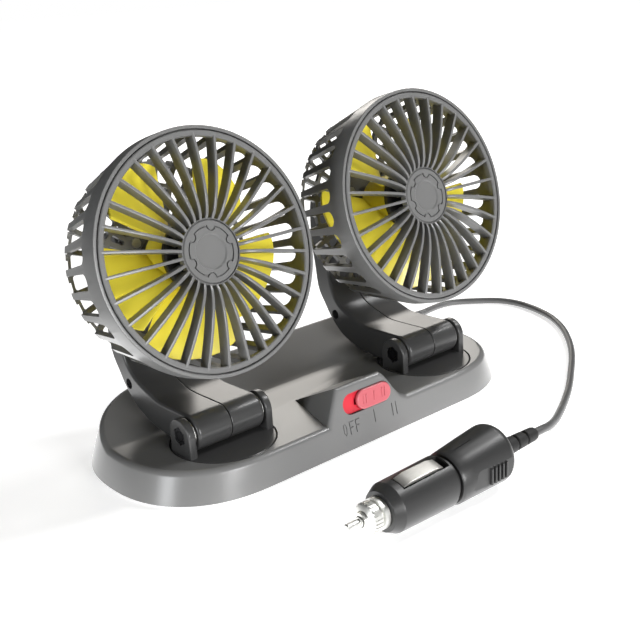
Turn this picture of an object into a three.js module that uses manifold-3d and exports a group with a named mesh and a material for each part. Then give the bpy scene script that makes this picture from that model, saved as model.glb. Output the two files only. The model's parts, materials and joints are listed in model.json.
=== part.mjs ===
// Dual-head car fan: a low tray-shaped base with a slide switch, two swivelling
// turntables, two hinged arms, two caged fan heads, and a cord with a 12 volt plug.
// Millimetres, +Z up, -Y to the front. The origin is the centre of the resting face.

import * as THREE from "three";
import { mergeVertices } from "three/addons/utils/BufferGeometryUtils.js";
import Module from "manifold-3d";

const wasm = await Module();
wasm.setup();

// Base
const baseLength = 215.2;
const baseDepth = 98.6;
const outlinePower = 2.32;
const endDraftShare = 1.6;
const wallFoot = 0.8;
const deckHeight = 14.2;
const draftAngle = 12;
const shellWall = 2.4;
const rampStart = 7.3;
const rampAngle = 14.8;

// Switch block, a wedge that rises from the deck behind the front wall
const blockHeight = 15.4;
const blockWidth = 48.6;
const blockLength = 34.2;

// Slide switch
const switchHeight = 20.4;
const recessLength = 28.6;
const recessWidth = 9.6;
const knobLength = 20.4;
const knobRise = 1.3;
const switchDepth = 7;
const switchCaseShare = 0.76;

// Turntables
const pivotSpacing = 123.2;
const pivotSetBack = 20.4;
const turntableRadius = 23;
const turntableThickness = 3.4;
const turntableGap = 0.45;
const hubRadius = 7.9;
const retainerRadius = 12;
const retainerThickness = 1.5;

// Hinges
const hingeHeight = 8.5;
const barrelRadius = 8;
const barrelLength = 34;
const earRadius = 7.6;
const earThickness = 3.5;
const earGap = 1.1;
const hingeBoltRadius = 2.2;
const nutRadius = 4;
const nutThickness = 1.4;
const frictionWasherRadius = 6.3;
const frictionWasherThickness = 0.5;

// Arms, as a side view measured from the hinge axis
const armReach = 64;
const armRise = 79.5;
const armWall = 2.4;
const armEdge = 1.4;
const seamGap = 0.3;

// Heads
const headTilt = 15.74;
const headRadius = 50.9;
const headDepth = 44.4;
const headForward = 4.8;
const headHeight = 84.3;
const cageWall = 2.2;
const cageBackRadius = 46.2;
const cageCorner = 9.2;
const rimWidth = 1.5;
const rimBand = 9.5;
const ribCount = 30;
const ribWidth = 2.8;
const backRibWidth = 2.2;
const cageRingShare = 0.58;
const mountPlateRadius = 18;
const mountPadHalf = 16;
const headScrewPlace = 10;

// Grilles
const grilleRingWidth = 2.4;
const grilleThickness = 3;
const finThickness = 1.3;
const finDepth = 6.2;
const finBow = 2.8;
const finBowShare = 0.68;
const grilleHubRadius = 14.4;
const hubCapRadius = 12.8;
const hubCapThickness = 1.4;
const capPeg = 1.8;

// Fans
const motorRadius = 11;
const motorLength = 24.4;
const shaftRadius = 1.2;
const bladeCount = 5;
const bladeTipRadius = 43;
const bladeCornerRadius = 39;
const bladeThickness = 1.5;
const bladeFront = 13.2;
const bladeDepth = 18;
const bladeSpan = 58;
const bladeTurn = 45;
const impellerHubRadius = 13.6;
const impellerHubWall = 1.5;
const impellerBossRadius = 4.8;
const impellerCapRadius = 15.6;
const impellerCapThickness = 2.4;

// Small screws
const screwRadius = 1.2;
const screwHeadRadius = 2.2;
const screwHeadHeight = 1.2;
const screwGrip = 8;
const pivotScrewShare = 1.6;

// Underside and inside of the base
const padThickness = 1.5;
const padInset = 15.3;
const coverThickness = 2.4;
const boardLength = 46;
const boardWidth = 20;
const boardThickness = 1.6;
const boardPostHeight = 1.8;

// Cord and the 12 volt plug, which lies on its side contact and the end of its handle
const cordRadius = 1.8;
const cordExitX = 80;
const cordExitZ = 8;
const reliefLength = 9;
const grommetFlange = 4.4;
const plugRadius = 10.5;
const plugBarrelLength = 34.4;
const plugNose = 4;
const plugHandleLength = 30.4;
const plugHandleStart = 11.1;
const plugHandleEnd = 12.8;
const plugReliefLength = 25.1;
const plugReliefRadius = 3.9;
const plugReliefTip = 3.2;
const plugReliefRoot = 7.9;
const plugReliefNeck = 3.5;
const plugNutRadius = 6.4;
const plugNutLength = 10;
const plugSpigotRadius = 6.5;
const plugSpigotLength = 8;
const pinRadius = 2;
const pinReach = 6.8;
const pinTravel = 3;
const plugBore = 3.5;
const fuseLength = 19.4;
const springWire = 0.35;
const springTurns = 4;
const contactTravel = 1.2;
const contactRise = 0.8;
const contactLength = 21;
const contactWidth = 6;
const contactThickness = 1.9;
const contactTurn = 13;
const plugX = -19.6;
const plugY = -109.9;

// Fits
const seat = 0.3;
const fit = 0.4;
const overrun = 1;

// The cord's way over the floor from the grommet to the plug, chosen by hand.
const cordRoute = [
  [84.9, 55.9, 7.4], [87.4, 59.6, 5.3], [91.4, 62.2, 3.2], [97, 63, 2.1],
  [105, 61.6, 1.9], [114, 58.6, 1.9], [125, 55.4, 1.9], [136.5, 53.8, 1.9],
  [145, 54.5, 1.9], [153.3, 54.9, 1.9], [160.8, 53.5, 1.9], [167.4, 49.6, 1.9],
  [174.6, 43.2, 1.9], [180.4, 37.3, 1.9], [184.4, 31.2, 1.9], [186.6, 23, 1.9],
  [186.3, 14, 1.9], [183.8, 2.4, 1.9], [178.6, -10.8, 1.9], [168.6, -25.6, 1.9],
  [156.4, -38.8, 1.9], [144.5, -49.5, 1.9], [133.1, -58.3, 1.9], [121.8, -66.1, 1.9],
  [110.9, -73.5, 1.9], [100.1, -80.4, 2], [88.2, -87.3, 2.6], [75.2, -94.6, 4.1],
  [61.4, -102, 6.4], [50, -107.3, 9.2], [42, -109.5, 11],
];

const radians = THREE.MathUtils.degToRad;
const tanOf = (degrees) => Math.tan(radians(degrees));
const pivotX = pivotSpacing / 2;
const halfLength = baseLength / 2;
const halfDepth = baseDepth / 2;
const straightHalf = halfLength - halfDepth;
const blockTop = deckHeight + blockHeight;
const beyond = baseLength + baseDepth;

// Turns a closed geometry into a solid that can be cut and joined.
function solidOf(geometry) {
  const bare = geometry.clone();
  bare.deleteAttribute("normal");
  bare.deleteAttribute("uv");
  const merged = mergeVertices(bare);
  const corners = merged.attributes.position;
  const index = merged.index.array;
  const triangles = [];
  let volume = 0;
  const [a, b, c] = [new THREE.Vector3(), new THREE.Vector3(), new THREE.Vector3()];
  for (let i = 0; i < index.length; i += 3) {
    const [p, q, r] = [index[i], index[i + 1], index[i + 2]];
    if (p === q || q === r || r === p) continue;
    triangles.push(p, q, r);
    a.fromBufferAttribute(corners, p);
    b.fromBufferAttribute(corners, q);
    c.fromBufferAttribute(corners, r);
    volume += a.dot(b.cross(c));
  }
  if (volume < 0) triangles.reverse();
  return new wasm.Manifold(new wasm.Mesh({
    numProp: 3,
    vertProperties: new Float32Array(corners.array),
    triVerts: new Uint32Array(triangles),
  }));
}

function geometryOf(solid) {
  const mesh = solid.getMesh();
  const geometry = new THREE.BufferGeometry();
  geometry.setAttribute("position", new THREE.BufferAttribute(mesh.vertProperties, mesh.numProp));
  geometry.setIndex(new THREE.BufferAttribute(mesh.triVerts, 1));
  geometry.computeVertexNormals();
  return geometry;
}

function named(name, solid, material) {
  const mesh = new THREE.Mesh(geometryOf(solid), material);
  mesh.name = name;
  return mesh;
}

function paint(color, roughness, metalness = 0) {
  return () => new THREE.MeshStandardMaterial({ color, roughness, metalness });
}

const greyPlastic = paint(0x6b6b6b, 0.45);
const darkPlastic = paint(0x2b2a28, 0.3);
const blackRubber = paint(0x1c1c1c, 0.8);
const yellowPlastic = paint(0xd7c33c, 0.35);
const redPlastic = paint(0xd8323f, 0.35);
const steel = paint(0xb9b9b5, 0.35, 1);
const blackenedSteel = paint(0x2e2e30, 0.4, 1);
const boardGreen = paint(0x1f5a34, 0.6);
const glass = paint(0xd8dcd8, 0.15);

// A solid of revolution about Z, from [radius, height] pairs that start and end on
// the axis, or that go once round a ring's section.
function turned(profile, segments, closed = false) {
  const points = profile.map(([radius, height]) => new THREE.Vector2(radius, height));
  if (closed) points.push(points[0].clone());
  return new THREE.LatheGeometry(points, segments).rotateX(Math.PI / 2);
}

function disc(radius, low, high, segments = 16) {
  return turned([[0, low], [radius, low], [radius, high], [0, high]], segments);
}

function ring(inner, outer, low, high, segments = 16) {
  return turned([[inner, low], [outer, low], [outer, high], [inner, high]], segments, true);
}

function box(x, y, z) {
  const geometry = new THREE.BoxGeometry(x[1] - x[0], y[1] - y[0], z[1] - z[0]);
  return geometry.translate((x[0] + x[1]) / 2, (y[0] + y[1]) / 2, (z[0] + z[1]) / 2);
}

function outline(points) {
  return new THREE.Shape(points.map(([u, v]) => new THREE.Vector2(u, v)));
}

// A prism along Z from an outline in X and Y.
function prism(points, low, high) {
  const options = { depth: high - low, bevelEnabled: false };
  return new THREE.ExtrudeGeometry(outline(points), options).translate(0, 0, low);
}

// A prism along X from an outline in Y and Z.
function sidePrism(points, low, high) {
  return prism(points, low, high).rotateX(Math.PI / 2).rotateZ(Math.PI / 2);
}

function rod(radius, low, high, segments = 12) {
  return disc(radius, low, high, segments).rotateY(Math.PI / 2);
}

function arc(centreU, centreV, radius, from, to, steps) {
  return Array.from({ length: steps + 1 }, (_, i) => {
    const angle = radians(from + ((to - from) * i) / steps);
    return [centreU + radius * Math.cos(angle), centreV + radius * Math.sin(angle)];
  });
}

// A slot's outline: two half circles joined by straight sides.
function slotOutline(length, width, steps = 5) {
  const reach = (length - width) / 2;
  return [...arc(reach, 0, width / 2, -90, 90, steps), ...arc(-reach, 0, width / 2, 90, 270, steps)];
}

// A closed skin over rings of equally many points, with a fan at each end.
function loft(rings) {
  const count = rings[0].length;
  const positions = rings.flat().flat();
  const index = [];
  for (let level = 0; level + 1 < rings.length; level += 1) {
    for (let i = 0; i < count; i += 1) {
      const next = (i + 1) % count;
      const [low, high] = [level * count, (level + 1) * count];
      index.push(low + i, low + next, high + next, low + i, high + next, high + i);
    }
  }
  const last = (rings.length - 1) * count;
  for (const [start, flip] of [[0, true], [last, false]]) {
    const centre = positions.length / 3;
    const points = rings[start / count];
    positions.push(...[0, 1, 2].map((axis) => points.reduce((sum, p) => sum + p[axis], 0) / count));
    for (let i = 0; i < count; i += 1) {
      const [p, q] = [start + i, start + ((i + 1) % count)];
      index.push(...(flip ? [centre, q, p] : [centre, p, q]));
    }
  }
  const geometry = new THREE.BufferGeometry();
  geometry.setAttribute("position", new THREE.Float32BufferAttribute(positions, 3));
  geometry.setIndex(index);
  return geometry;
}

// The base's outline: straight sides with superelliptic ends, drawn in by inset.
function baseRing(inset, height, steps = 6) {
  const points = [];
  for (const [side, from] of [[1, -90], [-1, 90]]) {
    for (let i = 0; i <= 2 * steps; i += 1) {
      const angle = radians(from + (90 * i) / steps);
      const along = Math.abs(Math.cos(angle)) ** (2 / outlinePower);
      const across = Math.sign(Math.sin(angle)) * Math.abs(Math.sin(angle)) ** (2 / outlinePower);
      const x = side * (straightHalf + (halfDepth - inset * endDraftShare) * along);
      points.push([x, (halfDepth - inset) * across, height]);
    }
  }
  return points;
}

const wallInset = (height) => (height - wallFoot) * tanOf(draftAngle);
const wallFront = (height) => -(halfDepth - wallInset(height));

// The space above the deck, which is flat at the front and climbs at the back.
function aboveDeck(drop) {
  const level = deckHeight - drop;
  return sidePrism([
    [-beyond, level], [rampStart, level],
    [beyond, level + (beyond - rampStart) * tanOf(rampAngle)], [beyond, beyond + beyond],
    [-beyond, beyond + beyond],
  ], -beyond, beyond);
}

// The wedge for the switch: its front view narrows and its roof falls to the back.
function switchBlock(inset) {
  const frontViewShares = [
    [-0.5, 0], [-0.345, 1], [0.2, 1], [0.262, 0.86], [0.315, 0.63], [0.38, 0.3], [0.435, 0.1], [0.5, 0],
  ];
  const backWidthShare = 0.63;
  const front = wallFront(deckHeight);
  const back = front + blockLength;
  const lead = blockLength / 2;
  const section = (y) => {
    const share = 1 + ((1 - backWidthShare) * (front - y)) / blockLength;
    return frontViewShares.map(([u, v]) => [
      u * share * (blockWidth - 2 * inset), y, deckHeight - inset + v * blockHeight,
    ]);
  };
  const skirt = (y) => {
    const points = section(y);
    const floor = deckHeight - shellWall - inset;
    return [[points[0][0], y, floor], ...points, [points[points.length - 1][0], y, floor]];
  };
  const body = solidOf(loft([skirt(front - lead), skirt(back)]));
  const roof = solidOf(sidePrism([
    [front - lead - overrun, wallFoot], [back + overrun, wallFoot], [back - inset, deckHeight - inset],
    [wallFront(blockTop), blockTop - inset], [front - lead - overrun, blockTop - inset],
  ], -blockWidth, blockWidth));
  return body.intersect(roof);
}

// Places of the cover screws: one near each end and two at the back.
const coverScrewPlaceShares = [[-0.87, 0.08], [0.87, 0.08], [-0.2, 0.69], [0.2, 0.69]];
const coverScrewPlaces = coverScrewPlaceShares.map(([u, v]) => [u * halfLength, v * halfDepth]);
const coverTop = padThickness + coverThickness;
const bossRadius = screwRadius + shellWall - seat;
const bossFoot = coverTop + seat;
const coverScrewSeat = padThickness + screwHeadHeight;

// The cord leaves through the back wall, square to the outline.
const cordExitInset = wallInset(cordExitZ);
const exitAlongShare = (cordExitX - straightHalf) / (halfDepth - cordExitInset * endDraftShare);
const exitAcrossShare = (1 - exitAlongShare ** outlinePower) ** (1 / outlinePower);
const cordExitY = (halfDepth - cordExitInset) * exitAcrossShare;
const cordExitTurn = -Math.atan2(
  exitAlongShare ** (outlinePower - 1),
  exitAcrossShare ** (outlinePower - 1),
);
const grommetNeck = (cordRadius + grommetFlange) / 2;
const grommetInnerFlange = cordExitZ - coverTop - seat;
const exitDraftShare = (1 + endDraftShare) / 2;
const grommetGap = grommetFlange * tanOf(draftAngle) * exitDraftShare + seat;

function inCordExit(geometry) {
  return geometry.rotateX(-Math.PI / 2).rotateZ(cordExitTurn).translate(cordExitX, cordExitY, cordExitZ);
}

const pocketFloor = turntableThickness + seat;
const pocketRadius = turntableRadius + turntableGap;

function inSwitch(geometry) {
  return geometry.rotateX(Math.PI / 2 - radians(draftAngle))
    .translate(0, wallFront(switchHeight), switchHeight);
}

function baseShell() {
  const topInset = wallInset(blockTop);
  const plinth = solidOf(loft([baseRing(0, wallFoot), baseRing(topInset, blockTop)]));
  const tray = plinth.subtract(solidOf(aboveDeck(0)));
  let shell = tray.add(plinth.intersect(switchBlock(0)));
  const innerTop = blockTop;
  const inner = solidOf(loft([
    baseRing(shellWall - overrun * tanOf(draftAngle), wallFoot - overrun),
    baseRing(shellWall + wallInset(innerTop), innerTop),
  ]));
  let cavity = inner.subtract(solidOf(aboveDeck(shellWall)));
  cavity = cavity.add(inner.intersect(switchBlock(shellWall)));
  for (const side of [-1, 1]) {
    const cup = disc(pocketRadius + shellWall, deckHeight - pocketFloor - shellWall, deckHeight, 32);
    cavity = cavity.subtract(solidOf(cup.translate(side * pivotX, -pivotSetBack, 0)));
  }
  for (const [x, y] of coverScrewPlaces) {
    cavity = cavity.subtract(solidOf(disc(bossRadius, bossFoot, beyond, 8).translate(x, y, 0)));
  }
  shell = shell.subtract(cavity);
  for (const side of [-1, 1]) {
    const floor = deckHeight - pocketFloor;
    const pocket = disc(pocketRadius, floor, deckHeight + overrun, 32);
    const hole = disc(hubRadius + seat, floor - shellWall - overrun, floor + overrun);
    shell = shell.subtract(solidOf(pocket.translate(side * pivotX, -pivotSetBack, 0)));
    shell = shell.subtract(solidOf(hole.translate(side * pivotX, -pivotSetBack, 0)));
  }
  for (const [x, y] of coverScrewPlaces) {
    const hole = disc(screwRadius + seat, bossFoot - overrun, coverScrewSeat + screwGrip + seat, 8);
    shell = shell.subtract(solidOf(hole.translate(x, y, 0)));
  }
  const recess = prism(slotOutline(recessLength, recessWidth), -switchDepth, overrun);
  const cordHole = inCordExit(disc(grommetNeck + seat, -2 * shellWall, shellWall, 12));
  return shell.subtract(solidOf(inSwitch(recess))).subtract(solidOf(cordHole));
}

const coverInset = shellWall + fit;
const boardSetBack = rampStart + boardWidth / 2;

function bottomCover() {
  const low = padThickness;
  let cover = solidOf(loft([
    baseRing(coverInset + wallInset(low), low), baseRing(coverInset + wallInset(coverTop), coverTop),
  ]));
  for (const [x, y] of coverScrewPlaces) {
    const hole = disc(screwRadius + seat, low - overrun, coverTop + overrun, 8);
    const seatHole = disc(screwHeadRadius + seat, low - overrun, coverScrewSeat + seat, 8);
    cover = cover.subtract(solidOf(hole.translate(x, y, 0)));
    cover = cover.subtract(solidOf(seatHole.translate(x, y, 0)));
  }
  const reach = [boardLength / 2 - coverThickness, boardWidth / 2 - coverThickness];
  for (const side of [-1, 1]) {
    for (const end of [-1, 1]) {
      const post = disc(coverThickness / 2, coverTop - overrun, coverTop + boardPostHeight, 6);
      cover = cover.add(solidOf(post.translate(side * reach[0], boardSetBack + end * reach[1], 0)));
    }
  }
  return cover;
}

function circuitBoard() {
  const low = coverTop + boardPostHeight + seat;
  return solidOf(box(
    [-boardLength / 2, boardLength / 2],
    [boardSetBack - boardWidth / 2, boardSetBack + boardWidth / 2], [low, low + boardThickness],
  ));
}

function antiSlipPad() {
  return solidOf(loft([baseRing(padInset, 0), baseRing(padInset, padThickness)]));
}

// A pan-head screw along +Z whose head rests at height zero.
function screw(length, radius = screwRadius, headRadius = screwHeadRadius, head = screwHeadHeight) {
  return turned([[0, -head], [headRadius, -head], [headRadius, 0], [radius, 0], [radius, length], [0, length]], 8);
}

// In the switch's frame X runs along the slot, Y up the wall and Z out of it.
const knobTravel = recessLength - knobLength - 2 * seat;
const knobX = (recessLength - knobLength) / 2 - seat;
const stemHalf = [knobLength / 8, recessWidth / 8];
const stemLow = shellWall - switchDepth;
const switchFloor = -shellWall / 2;

function switchBody() {
  const liningLow = -shellWall - seat;
  const half = [(recessLength * switchCaseShare) / 2, (recessWidth * switchCaseShare) / 2];
  const lining = prism(slotOutline(recessLength - 2 * seat, recessWidth - 2 * seat), liningLow, switchFloor);
  const casing = box([-half[0], half[0]], [-half[1], half[1]], [-switchDepth, liningLow + seat]);
  const slot = box(
    [knobX - knobTravel - stemHalf[0] - seat, knobX + stemHalf[0] + seat],
    [-stemHalf[1] - seat, stemHalf[1] + seat], [stemLow - seat, overrun],
  );
  return solidOf(lining).add(solidOf(casing)).subtract(solidOf(slot));
}

function switchSlider() {
  const low = switchFloor + seat;
  const face = prism(slotOutline(knobLength, recessWidth - 2 * seat), low, knobRise);
  const stem = box([-stemHalf[0], stemHalf[0]], [-stemHalf[1], stemHalf[1]], [stemLow, low + seat]);
  return solidOf(face).add(solidOf(stem));
}

function switchGroup() {
  const group = new THREE.Group();
  group.position.set(0, wallFront(switchHeight), switchHeight);
  group.rotation.x = Math.PI / 2 - radians(draftAngle);
  const slider = named("switch_slider", switchSlider(), redPlastic());
  slider.position.x = knobX;
  group.add(named("switch_body", switchBody(), redPlastic()), slider);
  return group;
}

// The strain relief is a spool through the wall that tapers to the cord.
function cordGrommet() {
  const inner = -shellWall * exitDraftShare - grommetGap;
  const lip = shellWall / 2;
  return turned([
    [0, inner - lip], [grommetInnerFlange, inner - lip], [grommetInnerFlange, inner], [grommetNeck, inner],
    [grommetNeck, grommetGap], [grommetFlange, grommetGap], [grommetFlange, grommetGap + lip],
    [cordRadius + 2 * seat, reliefLength], [0, reliefLength],
  ], 12).rotateX(-Math.PI / 2);
}

function baseGroup() {
  const group = new THREE.Group();
  const grommet = named("cord_grommet", solidOf(cordGrommet()), blackRubber());
  grommet.position.set(cordExitX, cordExitY, cordExitZ);
  grommet.rotation.z = cordExitTurn;
  group.add(
    named("base_shell", baseShell(), greyPlastic()),
    named("bottom_cover", bottomCover(), darkPlastic()),
    named("anti_slip_pad", antiSlipPad(), blackRubber()),
    named("circuit_board", circuitBoard(), boardGreen()),
    switchGroup(),
    grommet,
  );
  coverScrewPlaces.forEach(([x, y], i) => {
    const cover = named(`cover_screw_${i + 1}`, solidOf(screw(screwGrip)), steel());
    cover.position.set(x, y, coverScrewSeat);
    group.add(cover);
  });
  return group;
}

// The turntable's frame has its origin on the swivel axis at the deck's surface.
const earInner = barrelLength / 2 + earGap;
const earOuter = earInner + earThickness;
const hubFoot = -(pocketFloor + shellWall + seat);
const pivotScrewRadius = screwRadius * pivotScrewShare;
const pivotScrewHead = screwHeadRadius * pivotScrewShare;
const boltSink = nutThickness + 2 * seat;

function turntable() {
  let body = solidOf(turned([
    [0, hubFoot], [hubRadius, hubFoot], [hubRadius, -turntableThickness],
    [turntableRadius, -turntableThickness], [turntableRadius, 0], [0, 0],
  ], 32));
  const ear = [
    [earRadius, -turntableThickness / 2], ...arc(0, hingeHeight, earRadius, 0, 180, 8),
    [-earRadius, -turntableThickness / 2],
  ];
  for (const side of [-1, 1]) {
    const [low, high] = side < 0 ? [-earOuter, -earInner] : [earInner, earOuter];
    body = body.add(solidOf(sidePrism(ear, low, high)));
  }
  const bore = rod(hingeBoltRadius + seat, -earOuter - overrun, earOuter + overrun, 12);
  const nutSeat = rod(nutRadius + seat, -earOuter - overrun, -earOuter + boltSink, 6);
  const headSeat = rod(nutRadius + seat, earOuter - boltSink, earOuter + overrun);
  for (const cut of [bore, nutSeat, headSeat]) {
    body = body.subtract(solidOf(cut.translate(0, 0, hingeHeight)));
  }
  const tapping = disc(pivotScrewRadius + seat, hubFoot - overrun, -turntableThickness / 2, 12);
  return body.subtract(solidOf(tapping));
}

function turntableParts(side) {
  const retainerTop = hubFoot - seat;
  const retainer = ring(pivotScrewRadius + seat, retainerRadius, retainerTop - retainerThickness, retainerTop);
  const screwTop = retainerTop - retainerThickness - seat;
  const shankLength = -turntableThickness / 2 - seat - screwTop;
  const centre = named(
    `${side}_turntable_screw`,
    solidOf(screw(shankLength, pivotScrewRadius, pivotScrewHead, screwHeadHeight)), steel(),
  );
  centre.position.z = screwTop;
  const headLow = earOuter - seat - nutThickness;
  const bolt = solidOf(rod(hingeBoltRadius, -headLow - nutThickness, headLow + seat, 12))
    .add(solidOf(rod(nutRadius, headLow, headLow + nutThickness)));
  const nut = solidOf(rod(nutRadius, -headLow - nutThickness, -headLow, 6))
    .subtract(solidOf(rod(hingeBoltRadius + seat, -beyond, beyond, 12)));
  const parts = [
    named(`${side}_turntable`, turntable(), greyPlastic()),
    named(`${side}_turntable_retainer`, solidOf(retainer), steel()),
    centre,
  ];
  for (const [name, solid] of [["hinge_bolt", bolt], ["hinge_nut", nut]]) {
    const mesh = named(`${side}_${name}`, solid, blackenedSteel());
    mesh.position.z = hingeHeight;
    parts.push(mesh);
  }
  for (const [name, sign] of [["left", -1], ["right", 1]]) {
    const low = barrelLength / 2 + seat;
    const washer = ring(hingeBoltRadius + seat, frictionWasherRadius, low, low + frictionWasherThickness)
      .rotateY((sign * Math.PI) / 2);
    const mesh = named(`${side}_hinge_washer_${name}`, solidOf(washer), steel());
    mesh.position.z = hingeHeight;
    parts.push(mesh);
  }
  return parts;
}

// A place on the head, given behind the face and up along it, in the arm's side view.
const tilt = radians(headTilt);
const faceForward = headForward;
const faceUp = headHeight - hingeHeight;

function onHead(depth, up) {
  return [
    -faceForward + depth * Math.cos(tilt) + up * Math.sin(tilt),
    faceUp - depth * Math.sin(tilt) + up * Math.cos(tilt),
  ];
}

// The arm's side view: the barrel, the belly and back up to the top, the flat pad
// behind the head, then the inner curve back down to the barrel.
function armOutline() {
  const backShares = [
    [0.16, -0.096], [0.34, -0.091], [0.46, -0.077], [0.58, -0.049], [0.69, -0.005], [0.8, 0.082],
    [0.86, 0.153], [0.94, 0.26], [0.97, 0.42], [0.99, 0.52], [1, 0.65], [0.99, 0.82], [0.94, 0.91],
    [0.84, 0.975],
  ];
  const innerShares = [
    [0.65, 0.58], [0.75, 0.51], [0.79, 0.416], [0.78, 0.323], [0.745, 0.243], [0.685, 0.186],
    [0.6, 0.148], [0.48, 0.117], [0.36, 0.093], [0.145, 0.096],
  ];
  const through = (shares, first, last, steps) => {
    const middle = shares.map(([u, v]) => new THREE.Vector2(u * armReach, v * armRise));
    const ends = [first, last].map(([u, v]) => new THREE.Vector2(u, v));
    const curve = new THREE.SplineCurve([ends[0], ...middle, ends[1]]);
    return curve.getPoints(steps).map((p) => [p.x, p.y]);
  };
  const padLow = onHead(headDepth + seat, -mountPadHalf);
  const padHigh = onHead(headDepth + seat, mountPadHalf);
  const back = through(backShares, [0, -barrelRadius], padHigh, 18);
  const inner = through(innerShares, padLow, [0, barrelRadius], 13);
  return [...arc(0, 0, barrelRadius, 90, 270, 8).slice(1, -1), ...back, ...inner];
}

// Moves each side of a closed outline inwards by the same distance.
function insetOutline(points, distance) {
  const count = points.length;
  return points.map(([x, y], i) => {
    const before = points[(i + count - 1) % count];
    const after = points[(i + 1) % count];
    const first = new THREE.Vector2(x - before[0], y - before[1]).normalize();
    const second = new THREE.Vector2(after[0] - x, after[1] - y).normalize();
    const bisector = new THREE.Vector2(-first.y - second.y, first.x + second.x).normalize();
    const reach = distance / Math.max(bisector.dot(new THREE.Vector2(-first.y, first.x)), 0.5);
    return [x + bisector.x * reach, y + bisector.y * reach];
  });
}

const armScrewPlaceShares = [[0.735, 0.112], [0.87, 0.66]];
const armScrewPlaces = armScrewPlaceShares.map(([u, v]) => [u * armReach, v * armRise]);
const armScrewBoss = screwHeadRadius + seat + armWall / 2;
const armScrewHead = -barrelLength / 2 + barrelLength / 5;

function armSolid() {
  const half = barrelLength / 2;
  const side = armOutline();
  const edge = insetOutline(side, armEdge);
  const rings = [[-half, edge], [-half + armEdge, side], [half - armEdge, side], [half, edge]];
  let arm = solidOf(capped(rings));
  const hollow = sidePrism(insetOutline(side, armWall), -half + armWall, half - armWall);
  let cavity = solidOf(hollow);
  const bosses = [rod(barrelRadius, -half, half)];
  for (const [y, z] of armScrewPlaces) {
    bosses.push(rod(armScrewBoss, -half, half, 8).translate(0, y, z));
  }
  for (const boss of bosses) cavity = cavity.subtract(solidOf(boss));
  arm = arm.subtract(cavity);
  arm = arm.subtract(solidOf(rod(hingeBoltRadius + seat, -half - overrun, half + overrun, 12)));
  for (const [y, z] of armScrewPlaces) {
    const sink = rod(screwHeadRadius + seat, -half - overrun, armScrewHead, 8);
    const hole = rod(screwRadius + seat, -half, half - armWall - seat, 8);
    arm = arm.subtract(solidOf(sink.translate(0, y, z)));
    arm = arm.subtract(solidOf(hole.translate(0, y, z)));
  }
  const padHole = disc(screwRadius + seat, -2 * armWall, overrun, 12);
  return arm.subtract(solidOf(onPad(padHole.translate(-headScrewPlace, headScrewPlace, 0))));
}

// A closed skin over side-view outlines at several X places, with flat ends.
function capped(rings) {
  const contour = rings[0][1].map(([y, z]) => new THREE.Vector2(y, z));
  const faces = THREE.ShapeUtils.triangulateShape(contour, []);
  const count = rings[0][1].length;
  const positions = rings.flatMap(([x, points]) => points.flatMap(([y, z]) => [x, y, z]));
  const index = [];
  for (let level = 0; level + 1 < rings.length; level += 1) {
    for (let i = 0; i < count; i += 1) {
      const next = (i + 1) % count;
      const [low, high] = [level * count, (level + 1) * count];
      index.push(low + i, low + next, high + next, low + i, high + next, high + i);
    }
  }
  const last = (rings.length - 1) * count;
  for (const [a, b, c] of faces) index.push(a, c, b, last + a, last + b, last + c);
  const geometry = new THREE.BufferGeometry();
  geometry.setAttribute("position", new THREE.Float32BufferAttribute(positions, 3));
  geometry.setIndex(index);
  return geometry;
}

// Moves a shape whose Z points out of the head's face onto the arm's pad.
function onPad(geometry) {
  const [y, z] = onHead(headDepth + seat, 0);
  return geometry.rotateX(Math.PI / 2 - tilt).translate(0, y, z);
}

function armParts(side) {
  const arm = armSolid();
  const keepLeft = box([-beyond, -seamGap / 2], [-beyond, beyond], [-beyond, beyond]);
  const keepRight = box([seamGap / 2, beyond], [-beyond, beyond], [-beyond, beyond]);
  const parts = [
    named(`${side}_arm_left_half`, arm.intersect(solidOf(keepLeft)), greyPlastic()),
    named(`${side}_arm_right_half`, arm.intersect(solidOf(keepRight)), greyPlastic()),
  ];
  armScrewPlaces.forEach(([y, z], i) => {
    const length = barrelLength / 2 - armWall - seat - armScrewHead;
    const mesh = named(`${side}_arm_screw_${i + 1}`, solidOf(screw(length).rotateY(Math.PI / 2)), steel());
    mesh.position.set(armScrewHead - seat, y, z);
    parts.push(mesh);
  });
  return parts;
}

// Head pieces are drawn about the fan's axis: Z points out of the face, Y up along it.
const cageFloor = -headDepth + cageWall;

function cageSlots() {
  const pitch = (2 * Math.PI) / ribCount;
  const width = pitch * cageBackRadius - ribWidth;
  const corner = cageCorner - headDepth;
  const [sideFront, sideBack] = [-rimBand - width / 2, corner - cageCorner * cageRingShare];
  const side = [
    ...arc(0, sideFront, width / 2, 0, 180, 3), [-width / 2, sideBack], [width / 2, sideBack],
  ];
  const flat = cageBackRadius - cageCorner;
  const backReach = flat + cageCorner * cageRingShare;
  const slots = [];
  for (let i = 0; i < ribCount; i += 1) {
    const turn = (i + 0.5) * pitch;
    const cut = prism(side, flat, headRadius + overrun).rotateX(Math.PI / 2);
    slots.push(cut.rotateZ(turn));
    const half = (radius) => radius * Math.tan(pitch / 2) - backRibWidth / 2;
    const [near, far] = [half(mountPlateRadius), half(backReach)];
    const hole = [[-near, mountPlateRadius], [near, mountPlateRadius], [far, backReach], [-far, backReach]];
    slots.push(prism(hole, -headDepth - overrun, corner).rotateZ(turn));
  }
  return slots;
}

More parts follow.
